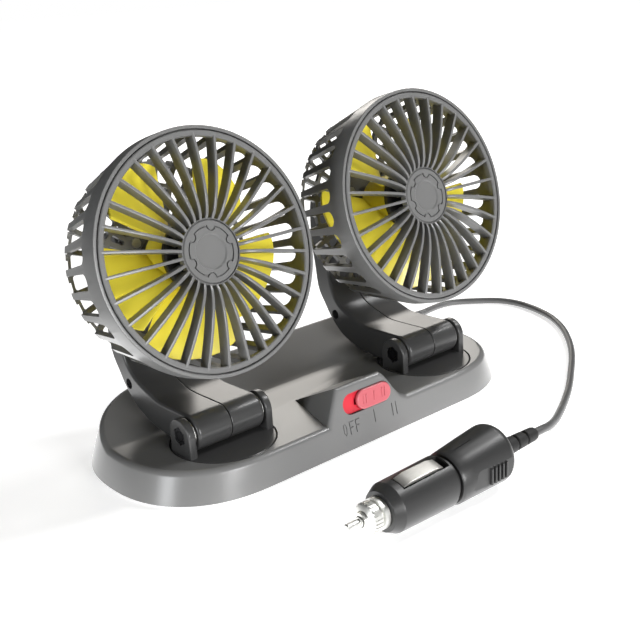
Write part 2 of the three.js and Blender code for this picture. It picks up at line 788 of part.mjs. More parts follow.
function rearCage() {
  const corner = cageCorner - headDepth;
  const flat = cageBackRadius - cageCorner;
  const inner = headRadius - cageWall - seat;
  const ledge = -grilleThickness - seat;
  let cage = solidOf(turned([
    [0, -headDepth], ...arc(flat, corner, cageCorner, -90, 0, 2), [headRadius, -rimBand], [headRadius, 0],
    [headRadius - rimWidth, 0], [headRadius - rimWidth, ledge], [inner, ledge], [inner, -rimBand],
    ...arc(flat, corner, cageCorner - cageWall, 0, -90, 2), [0, cageFloor],
  ], ribCount));
  for (const slot of cageSlots()) cage = cage.subtract(solidOf(slot));
  const hole = disc(screwRadius + seat, -headDepth - overrun, cageFloor + overrun, 12);
  return cage.subtract(solidOf(hole.translate(-headScrewPlace, headScrewPlace, 0)));
}

const capPocket = hubCapThickness + seat;
const hubSegments = 20;

function frontGrille() {
  const outer = headRadius - rimWidth - seat;
  const inner = outer - grilleRingWidth;
  let grille = solidOf(ring(inner, outer, -grilleThickness, 0, ribCount));
  grille = grille.add(solidOf(turned([
    [capPeg + seat, -grilleThickness], [grilleHubRadius, -grilleThickness], [grilleHubRadius, 0],
    [hubCapRadius + seat, 0], [hubCapRadius + seat, -capPocket], [capPeg + seat, -capPocket],
  ], hubSegments, true)));
  const [from, to, steps] = [(grilleHubRadius + hubCapRadius + seat) / 2, (inner + outer) / 2, 3];
  const top = Array.from({ length: steps + 1 }, (_, i) => {
    const share = i / steps;
    return [from + (to - from) * share, finBow * Math.sin(Math.PI * share ** finBowShare)];
  });
  const fin = [...top, ...top.map(([radius, z]) => [radius, z - finDepth]).reverse()];
  for (let i = 0; i < ribCount; i += 1) {
    const blade = sidePrism(fin, -finThickness / 2, finThickness / 2);
    grille = grille.add(solidOf(blade.rotateZ((2 * Math.PI * (i + 0.5)) / ribCount)));
  }
  return grille;
}

function hubCap() {
  const dish = hubCapRadius / 2;
  return solidOf(turned([
    [0, seat - grilleThickness], [capPeg, seat - grilleThickness], [capPeg, -hubCapThickness],
    [hubCapRadius, -hubCapThickness], [hubCapRadius, 0], [dish, 0], [dish - seat, -seat], [0, -seat],
  ], hubSegments));
}

const motorFoot = cageFloor + seat;
const motorFront = motorFoot + motorLength;
const hubFront = -bladeFront;
const shaftTop = hubFront - impellerHubWall / 2;

function motor() {
  const bore = shaftRadius + seat;
  return solidOf(turned([
    [0, motorFoot], [motorRadius, motorFoot], [motorRadius, motorFront], [bore, motorFront],
    [bore, (motorFoot + motorFront) / 2], [0, (motorFoot + motorFront) / 2],
  ], 20));
}

// A closed plate between a front and a back grid of points.
function plate(front, back) {
  const [rows, columns] = [front.length, front[0].length];
  const half = rows * columns;
  const at = (row, column) => row * columns + column;
  const index = [];
  for (let j = 0; j + 1 < rows; j += 1) {
    for (let i = 0; i + 1 < columns; i += 1) {
      const [a, b, c, d] = [at(j, i), at(j, i + 1), at(j + 1, i + 1), at(j + 1, i)];
      index.push(a, b, c, a, c, d);
      index.push(half + a, half + c, half + b, half + a, half + d, half + c);
    }
  }
  const edge = [];
  for (let i = 0; i + 1 < columns; i += 1) edge.push(at(0, i));
  for (let j = 0; j + 1 < rows; j += 1) edge.push(at(j, columns - 1));
  for (let i = columns - 1; i > 0; i -= 1) edge.push(at(rows - 1, i));
  for (let j = rows - 1; j > 0; j -= 1) edge.push(at(j, 0));
  edge.forEach((p, i) => {
    const q = edge[(i + 1) % edge.length];
    index.push(q, p, half + p, q, half + p, half + q);
  });
  const geometry = new THREE.BufferGeometry();
  const positions = [...front, ...back].flat(2);
  geometry.setAttribute("position", new THREE.Float32BufferAttribute(positions, 3));
  geometry.setIndex(index);
  return geometry;
}

// One blade: it falls back from its leading edge, and its tip corners are rounded off.
function blade(centre) {
  const root = impellerHubRadius - impellerHubWall / 2;
  const drop = bladeDepth - bladeThickness;
  const spanSteps = 2;
  const chordSteps = 4;
  const grid = (thickness) => Array.from({ length: spanSteps + 1 }, (_, j) => (
    Array.from({ length: chordSteps + 1 }, (_unused, i) => {
      const share = i / chordSteps;
      const corner = Math.abs(2 * share - 1) ** 3;
      const tip = bladeTipRadius + (bladeCornerRadius - bladeTipRadius) * corner;
      const radius = root + ((tip - root) * j) / spanSteps;
      const angle = radians(centre + bladeSpan * (share - 0.5));
      return [radius * Math.sin(angle), radius * Math.cos(angle), hubFront - drop * share - thickness];
    })
  ));
  return plate(grid(bladeThickness), grid(0));
}

function impeller() {
  const inner = impellerHubRadius - impellerHubWall;
  const [boss, bore] = [impellerBossRadius, shaftRadius + seat];
  const recess = boss - impellerHubWall / 2;
  let fan = solidOf(turned([
    [recess, hubFront], [impellerHubRadius, hubFront], [impellerHubRadius, hubFront - bladeDepth],
    [inner, hubFront - bladeDepth], [inner, hubFront - impellerHubWall], [boss, hubFront - impellerHubWall],
    [boss, motorFront + fit], [bore, motorFront + fit], [bore, shaftTop], [recess, shaftTop],
  ], 20, true));
  for (let i = 0; i < bladeCount; i += 1) {
    fan = fan.add(solidOf(blade(bladeTurn + (360 * i) / bladeCount)));
  }
  return fan;
}

function impellerCap() {
  const low = hubFront + seat;
  const peg = impellerBossRadius - impellerHubWall / 2 - seat;
  const high = low + impellerCapThickness;
  return solidOf(turned([
    [0, shaftTop + seat], [peg, shaftTop + seat], [peg, low], [impellerCapRadius, low],
    [impellerCapRadius, high], [0, high],
  ], 24));
}

function headGroup(side) {
  const group = new THREE.Group();
  group.position.set(0, -faceForward, faceUp);
  group.rotation.x = Math.PI / 2 - tilt;
  const shaftFoot = (motorFoot + motorFront) / 2 + seat;
  const length = cageWall + armWall + 2 * seat + overrun;
  const fixing = named(`${side}_head_screw`, solidOf(screw(length).rotateX(Math.PI)), steel());
  fixing.position.set(-headScrewPlace, headScrewPlace, cageFloor + seat);
  group.add(
    named(`${side}_rear_cage`, rearCage(), greyPlastic()),
    named(`${side}_front_grille`, frontGrille(), greyPlastic()),
    named(`${side}_hub_cap`, hubCap(), greyPlastic()),
    named(`${side}_motor`, motor(), darkPlastic()),
    named(`${side}_motor_shaft`, solidOf(disc(shaftRadius, shaftFoot, shaftTop, 8)), steel()),
    named(`${side}_impeller`, impeller(), yellowPlastic()),
    named(`${side}_impeller_cap`, impellerCap(), darkPlastic()),
    fixing,
  );
  return group;
}

function fanGroup(side, x) {
  const group = new THREE.Group();
  group.position.set(x, -pivotSetBack, deckHeight);
  const arm = new THREE.Group();
  arm.position.z = hingeHeight;
  arm.add(...armParts(side), headGroup(side));
  group.add(...turntableParts(side), arm);
  return group;
}

// The plug is drawn along X from its collar: the nose is at -X, the cord at +X.
const plugZ = plugRadius + contactRise + seat / 3;
const noseX = -plugBarrelLength;
const nutFront = noseX - plugNutLength;
const pinCollar = plugBore - seat;
const pinCollarLength = pinRadius;
const pinLip = plugNutLength / 5;
const pinCollarFront = nutFront + pinLip + seat;
const pinBack = pinCollarFront + pinCollarLength;
const springFront = pinBack + pinTravel + seat;
const boreEnd = -shellWall;
const fuseFront = boreEnd - seat - fuseLength;

function plugNut() {
  const neck = plugSpigotRadius - overrun;
  const front = noseX - seat;
  return turned([
    [pinRadius + seat, nutFront], [plugNutRadius - seat, nutFront], [plugNutRadius, nutFront + seat],
    [plugNutRadius, front], [neck, front], [neck, noseX + plugNose], [plugBore, noseX + plugNose],
    [plugBore, nutFront + pinLip], [pinRadius + seat, nutFront + pinLip],
  ], 16, true).rotateY(Math.PI / 2);
}

function plugPin() {
  const tip = nutFront - pinReach;
  return turned([
    [0, tip], [pinRadius / 2, tip], [pinRadius, tip + pinRadius], [pinRadius, pinCollarFront],
    [pinCollar, pinCollarFront], [pinCollar, pinBack], [0, pinBack],
  ], 12).rotateY(Math.PI / 2);
}

// Turns a shape made on the barrel's top to where a side contact is.
function atContact(geometry, side) {
  const middle = -plugBarrelLength / 2 + contactTravel;
  return geometry.translate(middle, 0, 0).rotateX(radians(contactTurn + side * 180));
}

const contactTop = plugRadius + contactRise;
const contactFoot = contactTop - contactThickness;

function sideContact() {
  const half = contactLength / 2;
  const shoulder = contactTop - contactRise;
  const view = [
    [-half, contactFoot], [half, contactFoot], [half, shoulder - seat], [half / 2, contactTop],
    [-half / 2, contactTop], [-half, shoulder - seat],
  ];
  return prism(view, -contactWidth / 2, contactWidth / 2).rotateX(Math.PI / 2);
}

function plugBarrel() {
  let barrel = solidOf(turned([
    [0, noseX], [plugRadius - plugNose / 2, noseX], [plugRadius, noseX + plugNose], [plugRadius, 0],
    [plugSpigotRadius, 0], [plugSpigotRadius, plugSpigotLength], [0, plugSpigotLength],
  ], 24).rotateY(Math.PI / 2));
  const neckHole = rod(plugSpigotRadius - overrun + seat, noseX - overrun, noseX + plugNose + seat, 16);
  barrel = barrel.subtract(solidOf(neckHole));
  barrel = barrel.subtract(solidOf(rod(plugBore, noseX - overrun, boreEnd)));
  const half = [contactLength / 2 + seat, contactWidth / 2 + seat];
  const floor = contactFoot - contactTravel - seat;
  for (const side of [0, 1]) {
    const pocket = box([-half[0], half[0]], [-half[1], half[1]], [floor, contactTop + overrun]);
    barrel = barrel.subtract(solidOf(atContact(pocket, side)));
  }
  return barrel;
}

// The handle grows towards the cord while its underside stays on the floor.
function plugHandle() {
  const stationShares = [[0, -0.5], [0.04, 0], [0.9, 1], [1, 0.2]];
  const sections = stationShares.map(([along, grown]) => {
    const radius = plugHandleStart + (plugHandleEnd - plugHandleStart) * grown;
    const x = seat + (plugHandleLength - seat) * along;
    const lift = plugHandleStart + (plugHandleEnd - plugHandleStart) * Math.max(grown, 0) - contactTop;
    return arc(0, 0, radius, 0, 340, 17).map(([y, z]) => [x, y, z + lift]);
  });
  const body = solidOf(loft(sections));
  const socket = rod(plugSpigotRadius + seat, -overrun, plugSpigotLength + seat, 16);
  const reliefSocket = rod(plugReliefNeck + seat, plugHandleLength - plugReliefRoot, plugHandleLength + overrun);
  return body.subtract(solidOf(socket)).subtract(solidOf(reliefSocket));
}

function plugRelief() {
  const root = plugHandleLength - plugReliefRoot + seat;
  const end = plugHandleLength + plugReliefLength;
  return turned([
    [0, root], [plugReliefNeck, root], [plugReliefNeck, plugHandleLength + seat],
    [plugReliefRadius, plugHandleLength + seat], [plugReliefTip, end], [0, end],
  ], 12).rotateY(Math.PI / 2);
}

class SpringPath extends THREE.Curve {
  getPoint(share, target = new THREE.Vector3()) {
    const angle = 2 * Math.PI * springTurns * share;
    const radius = plugBore - seat - springWire;
    const length = fuseFront - seat - springFront - 2 * springWire;
    return target.set(
      springFront + springWire + length * share, radius * Math.cos(angle), radius * Math.sin(angle),
    );
  }
}

// A solid wire or cord of even thickness along a path.
function along(path, radius, sides, steps) {
  const section = arc(0, 0, radius, 0, 360 - 360 / sides, sides - 1);
  return new THREE.ExtrudeGeometry(outline(section), { steps, extrudePath: path, bevelEnabled: false });
}

function powerCord() {
  const reach = reliefLength + seat;
  const start = [
    cordExitX - reach * Math.sin(cordExitTurn), cordExitY + reach * Math.cos(cordExitTurn), cordExitZ,
  ];
  const end = [plugX + plugHandleLength + plugReliefLength + seat, plugY, plugZ];
  const route = [start, ...cordRoute, end].map((place) => new THREE.Vector3(...place));
  return along(new THREE.CatmullRomCurve3(route), cordRadius, 8, 66);
}

function plugGroup() {
  const group = new THREE.Group();
  group.position.set(plugX, plugY, plugZ);
  const fuse = rod(plugBore - seat, fuseFront, boreEnd - seat);
  group.add(
    named("plug_relief", solidOf(plugRelief()), blackRubber()),
    named("plug_handle", plugHandle(), darkPlastic()),
    named("plug_barrel", plugBarrel(), darkPlastic()),
    named("plug_nut", solidOf(plugNut()), steel()),
    named("plug_pin", solidOf(plugPin()), steel()),
    named("plug_spring", solidOf(along(new SpringPath(), springWire, 4, springTurns * 8)), steel()),
    named("plug_fuse", solidOf(fuse), glass()),
    named("side_contact_1", solidOf(atContact(sideContact(), 0)), steel()),
    named("side_contact_2", solidOf(atContact(sideContact(), 1)), steel()),
  );
  return group;
}

const fan = new THREE.Group();
fan.name = "dual_head_car_fan";
fan.add(baseGroup(), fanGroup("left", -pivotX), fanGroup("right", pivotX), plugGroup());
fan.add(named("power_cord", solidOf(powerCord()), darkPlastic()));

export default fan;
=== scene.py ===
import json
import math

import bmesh
import bpy
from mathutils import Matrix, Vector


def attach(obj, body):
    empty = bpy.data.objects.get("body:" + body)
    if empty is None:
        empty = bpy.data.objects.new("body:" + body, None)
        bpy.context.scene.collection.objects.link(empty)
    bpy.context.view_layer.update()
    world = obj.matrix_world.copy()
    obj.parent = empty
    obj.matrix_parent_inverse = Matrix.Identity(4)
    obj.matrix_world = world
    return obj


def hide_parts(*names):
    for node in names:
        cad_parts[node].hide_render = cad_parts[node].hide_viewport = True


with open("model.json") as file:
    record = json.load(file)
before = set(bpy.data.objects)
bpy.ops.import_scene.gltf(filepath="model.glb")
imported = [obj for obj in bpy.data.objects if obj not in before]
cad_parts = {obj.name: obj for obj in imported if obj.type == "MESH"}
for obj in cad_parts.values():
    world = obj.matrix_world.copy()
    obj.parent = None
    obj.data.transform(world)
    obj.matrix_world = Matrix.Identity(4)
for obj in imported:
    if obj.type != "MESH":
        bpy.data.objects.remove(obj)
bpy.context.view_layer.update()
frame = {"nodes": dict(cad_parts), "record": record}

# Pieces are drawn in millimetres about their own frame, then moved into place.
MILLIMETRE = 0.001
ALONG_X = (1, 0, 0)

# The play between pieces that fit together
SEAT = 0.3

# Places of the fans
PIVOT_X = 61.6
PIVOT_Y = -20.4
DECK_Z = 14.2
HINGE_RISE = 8.5
HEAD_TILT = 15.74
HEAD_FORWARD = 4.8
HEAD_HEIGHT = 84.3
TWIN_SHIFT = 2 * PIVOT_X

# Base
HALF_LENGTH = 107.6
HALF_DEPTH = 49.3
OUTLINE_POWER = 2.32
END_DRAFT_SHARE = 1.6
WALL_FOOT = 0.8
DRAFT_ANGLE = 12
SHELL_WALL = 2.4
RAMP_START = 7.3
RAMP_ANGLE = 14.8
CUP_FLOOR = 8.2
RIM_ROUND = 2.2
RIM_MERGE = 0.6

# The wedge that holds the switch, its front view in shares of its width and height
BLOCK_HEIGHT = 15.4
BLOCK_WIDTH = 48.6
BLOCK_LENGTH = 34.2
BLOCK_BACK_SHARE = 0.63
BLOCK_LEFT = [(-0.5, 0), (-0.345, 1)]
BLOCK_RIGHT = [(0.2, 1), (0.262, 0.86), (0.315, 0.63), (0.38, 0.3), (0.435, 0.1), (0.5, 0)]

# Switch, in a frame that lies on the front wall
SWITCH_HEIGHT = 20.4
RECESS_LENGTH = 28.6
RECESS_WIDTH = 9.6
SWITCH_DEPTH = 7
LINING_FLOOR = -2.7
LINING_TOP = -1.2
CASE_HALF_LENGTH = 10.9
CASE_HALF_WIDTH = 3.65
KNOB_LENGTH = 20.4
KNOB_FOOT = -0.9
KNOB_RISE = 1.3
KNOB_X = 3.8
KNOB_BAR_LENGTH = 4.4
KNOB_BAR_WIDTH = 0.8
KNOB_BAR_PITCH = 1.7
KNOB_BAR_LEAN = 82
# The place of each group of bars on the knob, and how many it has
KNOB_BARS = [(-5.6, 2), (0, 1), (5.6, 2)]

# The marks sunk into the front wall under the switch
MARKS_LEVEL = 10.4
MARK_HEIGHT = 5.6
MARK_WIDTH = 0.55
MARK_DEPTH = 0.4
LETTER_O_X = -15.4
LETTER_O_SHARE = 0.36
LETTER_F_PLACES = [-12.6, -9]
# The place of each bar along the wall and up it
BAR_PLACES = [(2.4, 1), (13.4, 0.4), (15.9, 0.4)]

# Turntables and hinges
TURNTABLE_RADIUS = 23
TURNTABLE_THICKNESS = 3.4
TURNTABLE_GAP = 0.45
TURNTABLE_EDGE = 0.5
HUB_RADIUS = 7.9
HUB_FOOT = -6.4
TAPPING_RADIUS = 2.2
BARREL_RADIUS = 8
BARREL_LENGTH = 34
EAR_RADIUS = 7.6
EAR_INNER = 18.1
EAR_OUTER = 21.6
BOLT_RADIUS = 2.2
NUT_RADIUS = 4
NUT_SINK = 2

# Arms, their side view in shares of reach and rise
ARM_REACH = 64
ARM_RISE = 79.5
ARM_EDGE = 1.5
SEAM_GAP = 0.3
SEAM_EDGE = 0.4
MOUNT_PAD_HALF = 16
ARM_BACK = [
    (0.16, -0.096), (0.34, -0.091), (0.46, -0.077), (0.58, -0.049), (0.69, -0.005), (0.8, 0.082),
    (0.86, 0.153), (0.94, 0.26), (0.97, 0.42), (0.99, 0.52), (1, 0.65), (0.99, 0.82), (0.94, 0.91),
    (0.84, 0.975),
]
ARM_INNER = [
    (0.65, 0.58), (0.75, 0.51), (0.79, 0.416), (0.78, 0.323), (0.745, 0.243), (0.685, 0.186),
    (0.6, 0.148), (0.48, 0.117), (0.36, 0.093), (0.145, 0.096),
]
ARM_SCREWS = [(0.735, 0.112), (0.87, 0.66)]
ARM_SCREW_RADIUS = 2.5
ARM_SCREW_DEPTH = 6.8

# Heads
HEAD_RADIUS = 50.9
HEAD_DEPTH = 44.4
CAGE_WALL = 2.2
CAGE_EDGE = 0.45
CAGE_BACK_RADIUS = 46.2
CAGE_CORNER = 9.2
RIM_WIDTH = 1.5
RIM_BAND = 9.5
RIB_COUNT = 30
RIB_WIDTH = 2.8
BACK_RIB_WIDTH = 2.2
BACK_RINGS = [25.6, 33.4]
BACK_RING_HALF = 0.8
MOUNT_PLATE_RADIUS = 18
CAGE_RING_SHARE = 0.62
CAGE_RING_SINK = 0.7
HEAD_SCREW_PLACE = (-10, 10, 0)
HEAD_SCREW_RADIUS = 1.5
GRILLE_RING_WIDTH = 2.4
GRILLE_THICKNESS = 3
GRILLE_EDGE = 0.4
GRILLE_HUB_RADIUS = 14.4
GRILLE_BORE = 2.1
FIN_THICKNESS = 1.3
FIN_DEPTH = 6.2
FIN_BOW = 2.8
FIN_BOW_SHARE = 0.68
HUB_CAP_RADIUS = 12.8
HUB_CAP_THICKNESS = 1.4
HUB_CAP_EDGE = 0.4
HUB_CAP_STEM = 1.8
BADGE_RADIUS = 10.6
BADGE_GROOVE = 0.6
BADGE_GROOVE_DEPTH = 0.9
NOTCH_COUNT = 6
NOTCH_CENTRE = 10.4
NOTCH_RADIUS = 1.6
NOTCH_TURN = 16
DISH_RADIUS = 7.4
DISH_DEPTH = 0.6

# Impellers and motors
BLADE_COUNT = 5
BLADE_TIP_RADIUS = 43
BLADE_CORNER_RADIUS = 39
BLADE_THICKNESS = 1.5
BLADE_FRONT = 13.2
BLADE_DEPTH = 18
BLADE_SPAN = 58
BLADE_TURN = 45
IMPELLER_HUB_RADIUS = 13.6
IMPELLER_WALL = 1.5
BOSS_RADIUS = 4.8
BOSS_FOOT = -17
SHAFT_RADIUS = 1.5
CAP_SOCKET_RADIUS = 4
CAP_STEM_RADIUS = 3.7
CAP_STEM_FOOT = -13.6
IMPELLER_CAP_RADIUS = 15.6
IMPELLER_CAP_LOW = -12.9
IMPELLER_CAP_HIGH = -10.5
IMPELLER_CAP_EDGE = 0.6
MOTOR_RADIUS = 11
MOTOR_LENGTH = 24.4
MOTOR_VENTS = 6

# Cord and the grommet where it leaves the base
CORD_RADIUS = 1.8
CORD_INNER_RUN = 40
CORD_EXIT_X = 80
CORD_EXIT_Z = 8
GROMMET_FLANGE = 4.4
GROMMET_NECK = 3.1
GROMMET_FOOT = -5.2
GROMMET_LENGTH = 9
GROMMET_RIBS = 3

# Plug, drawn along X from its collar
PLUG_X = -19.6
PLUG_Y = -109.9
PLUG_Z = 11.4
PLUG_RADIUS = 10.5
PLUG_TAPER = 0.3
PLUG_BARREL_LENGTH = 34.4
PLUG_NOSE = 4
COLLAR_SINK = 1.2
COLLAR_START = -2.1
SPIGOT_RADIUS = 6.5
SPIGOT_LENGTH = 8
CHAMBER_RADIUS = 3.5
PLUG_HANDLE_LENGTH = 30.4
PLUG_HANDLE_LEAD = 1.6
PLUG_HANDLE_START = 11.1
PLUG_HANDLE_END = 12.8
PLUG_END_ROUND = 4.5
PLUG_NUT_RADIUS = 6.4
PLUG_NUT_LENGTH = 10
NUT_SHANK_RADIUS = 5.5
PIN_RADIUS = 2
PIN_COLLAR_RADIUS = 3.2
PIN_REACH = 6.8

# The sleeve where the cord leaves the plug
PLUG_RELIEF_LENGTH = 25.1
PLUG_RELIEF_RADIUS = 3.9
PLUG_RELIEF_TIP = 3.2
RELIEF_NECK = 3.3
RELIEF_ROOT = 7
RELIEF_RIBS = 4

# The plug's side contacts and the pockets that they spring in
CONTACT_LENGTH = 21
CONTACT_WIDTH = 6
CONTACT_RISE = 0.8
CONTACT_TURN = 13
CONTACT_TRAVEL = 1.2
CONTACT_FOOT = 9.6
CONTACT_END = 10.2
CONTACT_FLAT_SHARE = 0.6
POCKET_FLOOR = 7.2
POCKET_TOP = 13
POCKET_PLAY = 0.6
POCKET_BACK = 2.8

# The grip on the plug's handle
GRIP_PANEL = [(4, -7), (34, -7), (34, 4), (8, 4)]
GRIP_PANEL_ROUND = 3
GRIP_PANEL_SIDE = 10.9
GRIP_BARS = 5
GRIP_BAR_START = 15
GRIP_BAR_PITCH = 2.2
GRIP_BAR_SIDE = 11.3
GRIP_BAR_HALF = 0.6
GRIP_BAR_LOW = -4.4
GRIP_BAR_HIGH = 2.8
MOULD_LINE_FALL = 3.2

# The cord's way over the floor, in metres, from the grommet to the plug
CORD_ROUTE = [
    (0.0849, 0.0559, 0.0074), (0.0874, 0.0596, 0.0053), (0.0914, 0.0622, 0.0032),
    (0.097, 0.063, 0.0021), (0.105, 0.0616, 0.0019), (0.114, 0.0586, 0.0019),
    (0.125, 0.0554, 0.0019), (0.1365, 0.0538, 0.0019), (0.145, 0.0545, 0.0019),
    (0.1533, 0.0549, 0.0019), (0.1608, 0.0535, 0.0019), (0.1674, 0.0496, 0.0019),
    (0.1746, 0.0432, 0.0019), (0.1804, 0.0373, 0.0019), (0.1844, 0.0312, 0.0019),
    (0.1866, 0.023, 0.0019), (0.1863, 0.014, 0.0019), (0.1838, 0.0024, 0.0019),
    (0.1786, -0.0108, 0.0019), (0.1686, -0.0256, 0.0019), (0.1564, -0.0388, 0.0019),
    (0.1445, -0.0495, 0.0019), (0.1331, -0.0583, 0.0019), (0.1218, -0.0661, 0.0019),
    (0.1109, -0.0735, 0.0019), (0.1001, -0.0804, 0.002), (0.0882, -0.0873, 0.0026),
    (0.0752, -0.0946, 0.0041), (0.0614, -0.102, 0.0064), (0.05, -0.1073, 0.0092),
    (0.042, -0.1095, 0.011),
]

# Camera
CAMERA_PLACE = (-0.272763, -0.350682, 0.202326)
CAMERA_AZIMUTH = -39.12
CAMERA_ELEVATION = 19.37
CAMERA_ROLL = -3.51
CAMERA_LENS = 56.08
CAMERA_SENSOR = 36

# Floor and light, in metres and watts; a lamp has a place, a size, a power and a tint
FLOOR_SIZE = 12
FLOOR_Z = -0.0002
FLOOR_NEAR = 0.62
LIGHT_TABLE_GLOW = 1.8
LIGHT_TABLE_SIZE = (0.19, 0.13)
WORLD_GLOSS = 0.04
LAMP_AIM = (0, 0, 0.06)
LAMPS = {
    "front_lamp": ((0, -1.5, 0.32), (0.6, 0.45), 20, (1, 1, 1)),
    "back_lamp": ((0.8, 1.0, 0.6), (0.7, 0.5), 5.5, (1, 0.96, 0.9)),
    "rim_lamp": ((0.9, 0.1, 1.1), (0.3, 0.3), 3.5, (1, 1, 1)),
    "edge_lamp": ((0.76, -0.39, 0.98), (0.2, 0.2), 7, (1, 1, 1)),
    "left_lamp": ((-1.4, -0.3, 0.2), (0.4, 0.3), 8, (0.96, 0.98, 1)),
}


def tangent(degrees):
    return math.tan(math.radians(degrees))


def polar(radius, degrees):
    return radius * math.cos(math.radians(degrees)), radius * math.sin(math.radians(degrees))


def shift(x, y, z):
    return Matrix.Translation((x, y, z))


def rotation(degrees, axis):
    return Matrix.Rotation(math.radians(degrees), 4, axis)


def arc(centre_u, centre_v, radius, start, end, steps):
    points = []
    for i in range(steps + 1):
        u, v = polar(radius, start + (end - start) * i / steps)
        points.append((centre_u + u, centre_v + v))
    return points


def spline(points, steps):
    """Points along a smooth curve that passes through all the given ones."""
    ends = [points[0], *points, points[-1]]
    spans = len(points) - 1
    curve = []
    for i in range(steps + 1):
        along = spans * i / steps
        span = min(int(along), spans - 1)
        t = along - span
        a, b, c, d = ends[span:span + 4]
        place = []
        for before, start, end, after in zip(a, b, c, d):
            enter, leave = (end - before) / 2, (after - start) / 2
            rise = 2 * t ** 3 - 3 * t ** 2 + 1
            value = rise * start + (1 - rise) * end
            value += (t ** 3 - 2 * t ** 2 + t) * enter + (t ** 3 - t ** 2) * leave
            place.append(value)
        curve.append(tuple(place))
    return curve


# Modelling steps
def object_mode():
    if bpy.context.object and bpy.context.object.mode != "OBJECT":
        bpy.ops.object.mode_set(mode="OBJECT")


def pick(*objects):
    object_mode()
    bpy.ops.object.select_all(action="DESELECT")
    for piece in objects:
        piece.select_set(True)
    bpy.context.view_layer.objects.active = objects[0]


def edit(piece):
    pick(piece)
    bpy.ops.object.mode_set(mode="EDIT")


def select_faces(piece, wanted):
    """Selects the faces for which wanted(centre, normal) holds."""
    bpy.ops.mesh.select_all(action="DESELECT")
    bpy.ops.mesh.select_mode(type="FACE")
    mesh = bmesh.from_edit_mesh(piece.data)
    for face in mesh.faces:
        if wanted(face.calc_center_median(), face.normal):
            face.select_set(True)
    bmesh.update_edit_mesh(piece.data)


def select_edges(piece, wanted):
    """Selects the edges for which wanted(edge) holds."""
    bpy.ops.mesh.select_mode(type="EDGE")
    bpy.ops.mesh.select_all(action="DESELECT")
    mesh = bmesh.from_edit_mesh(piece.data)
    mesh.normal_update()
    for edge in mesh.edges:
        if wanted(edge):
            edge.select_set(True)
    mesh.select_flush_mode()
    bmesh.update_edit_mesh(piece.data)


def add_line(points):
    """Extrudes a single corner from point to point, inside the mesh being edited."""
    bpy.ops.mesh.select_mode(type="VERT")
    bpy.ops.mesh.select_all(action="DESELECT")
    bpy.ops.mesh.primitive_plane_add(size=1, location=(0, 0, 0))
    bpy.ops.mesh.merge(type="CENTER")
    bpy.ops.transform.translate(value=points[0])
    for before, after in zip(points, points[1:]):
        step = [b - a for a, b in zip(before, after)]
        bpy.ops.mesh.extrude_vertices_move(TRANSFORM_OT_translate={"value": step})


def drawn(name, *lines):
    """A new piece of one or more lines, left in edit mode."""
    object_mode()
    bpy.ops.object.select_all(action="DESELECT")
    bpy.ops.mesh.primitive_plane_add(size=1, location=(0, 0, 0))
    piece = bpy.context.object
    piece.name = name
    piece.data.name = name
    bpy.ops.object.mode_set(mode="EDIT")
    bpy.ops.mesh.delete(type="VERT")
    for line in lines:
        add_line(line)
    return piece


def tidy_skin(gap=0.001):
    """Merges doubled corners and turns every face outwards."""
    bpy.ops.mesh.select_all(action="SELECT")
    bpy.ops.mesh.remove_doubles(threshold=gap)
    bpy.ops.mesh.normals_make_consistent(inside=False)


def extruded(name, outline, step):
    """A prism: the outline is filled and extruded by the step."""
    piece = drawn(name, outline)
    bpy.ops.mesh.select_all(action="SELECT")
    bpy.ops.mesh.edge_face_add()
    bpy.ops.mesh.extrude_region_move(TRANSFORM_OT_translate={"value": step})
    tidy_skin()
    object_mode()
    return piece


def upright(name, outline, low, high):
    """A prism along Z from an outline in X and Y."""
    return extruded(name, [(x, y, low) for x, y in outline], (0, 0, high - low))


def sideways(name, outline, low, high):
    """A prism along X from an outline in Y and Z."""
    return extruded(name, [(low, y, z) for y, z in outline], (high - low, 0, 0))


def turned(name, profile, steps, axis=(0, 0, 1), closed=False):
    """A solid of revolution: the half section is drawn and spun once round."""
    along_x = axis == (1, 0, 0)
    points = [(h, 0, r) if along_x else (r, 0, h) for r, h in profile]
    if closed:
        points.append(points[0])
    piece = drawn(name, points)
    bpy.ops.mesh.select_all(action="SELECT")
    bpy.ops.mesh.spin(steps=steps, angle=2 * math.pi, center=(0, 0, 0), axis=axis)
    tidy_skin()
    object_mode()
    return piece


def sector(name, section, start, sweep, steps):
    """A closed section in X and Z, filled and spun part of the way round."""
    turn = Matrix.Rotation(math.radians(start), 3, "Z")
    piece = drawn(name, [tuple(turn @ Vector((r, 0, z))) for r, z in section])
    bpy.ops.mesh.select_all(action="SELECT")
    bpy.ops.mesh.edge_face_add()
    bpy.ops.mesh.spin(steps=steps, angle=math.radians(sweep), center=(0, 0, 0), axis=(0, 0, 1))
    bpy.ops.mesh.select_all(action="SELECT")
    bpy.ops.mesh.fill_holes(sides=0)
    tidy_skin()
    object_mode()
    return piece


def disc(name, radius, low, high, steps=24, axis=(0, 0, 1)):
    return turned(name, [(0, low), (radius, low), (radius, high), (0, high)], steps, axis)


def block(name, low, high):
    centre = [(a + b) / 2 for a, b in zip(low, high)]
    object_mode()
    bpy.ops.object.select_all(action="DESELECT")
    bpy.ops.mesh.primitive_cube_add(size=1, location=centre)
    piece = bpy.context.object
    piece.name = name
    piece.data.name = name
    piece.scale = [b - a for a, b in zip(low, high)]
    bpy.ops.object.transform_apply(location=True, rotation=True, scale=True)
    return piece


def moved(piece, matrix):
    """Moves a piece and folds its place into its mesh."""
    pick(piece)
    piece.matrix_world = matrix @ piece.matrix_world
    bpy.ops.object.transform_apply(location=True, rotation=True, scale=True)
    return piece


def copied(piece, matrix=None):
    pick(piece)
    bpy.ops.object.duplicate(linked=False)
    twin = bpy.context.object
    if matrix is not None:
        moved(twin, matrix)
    return twin


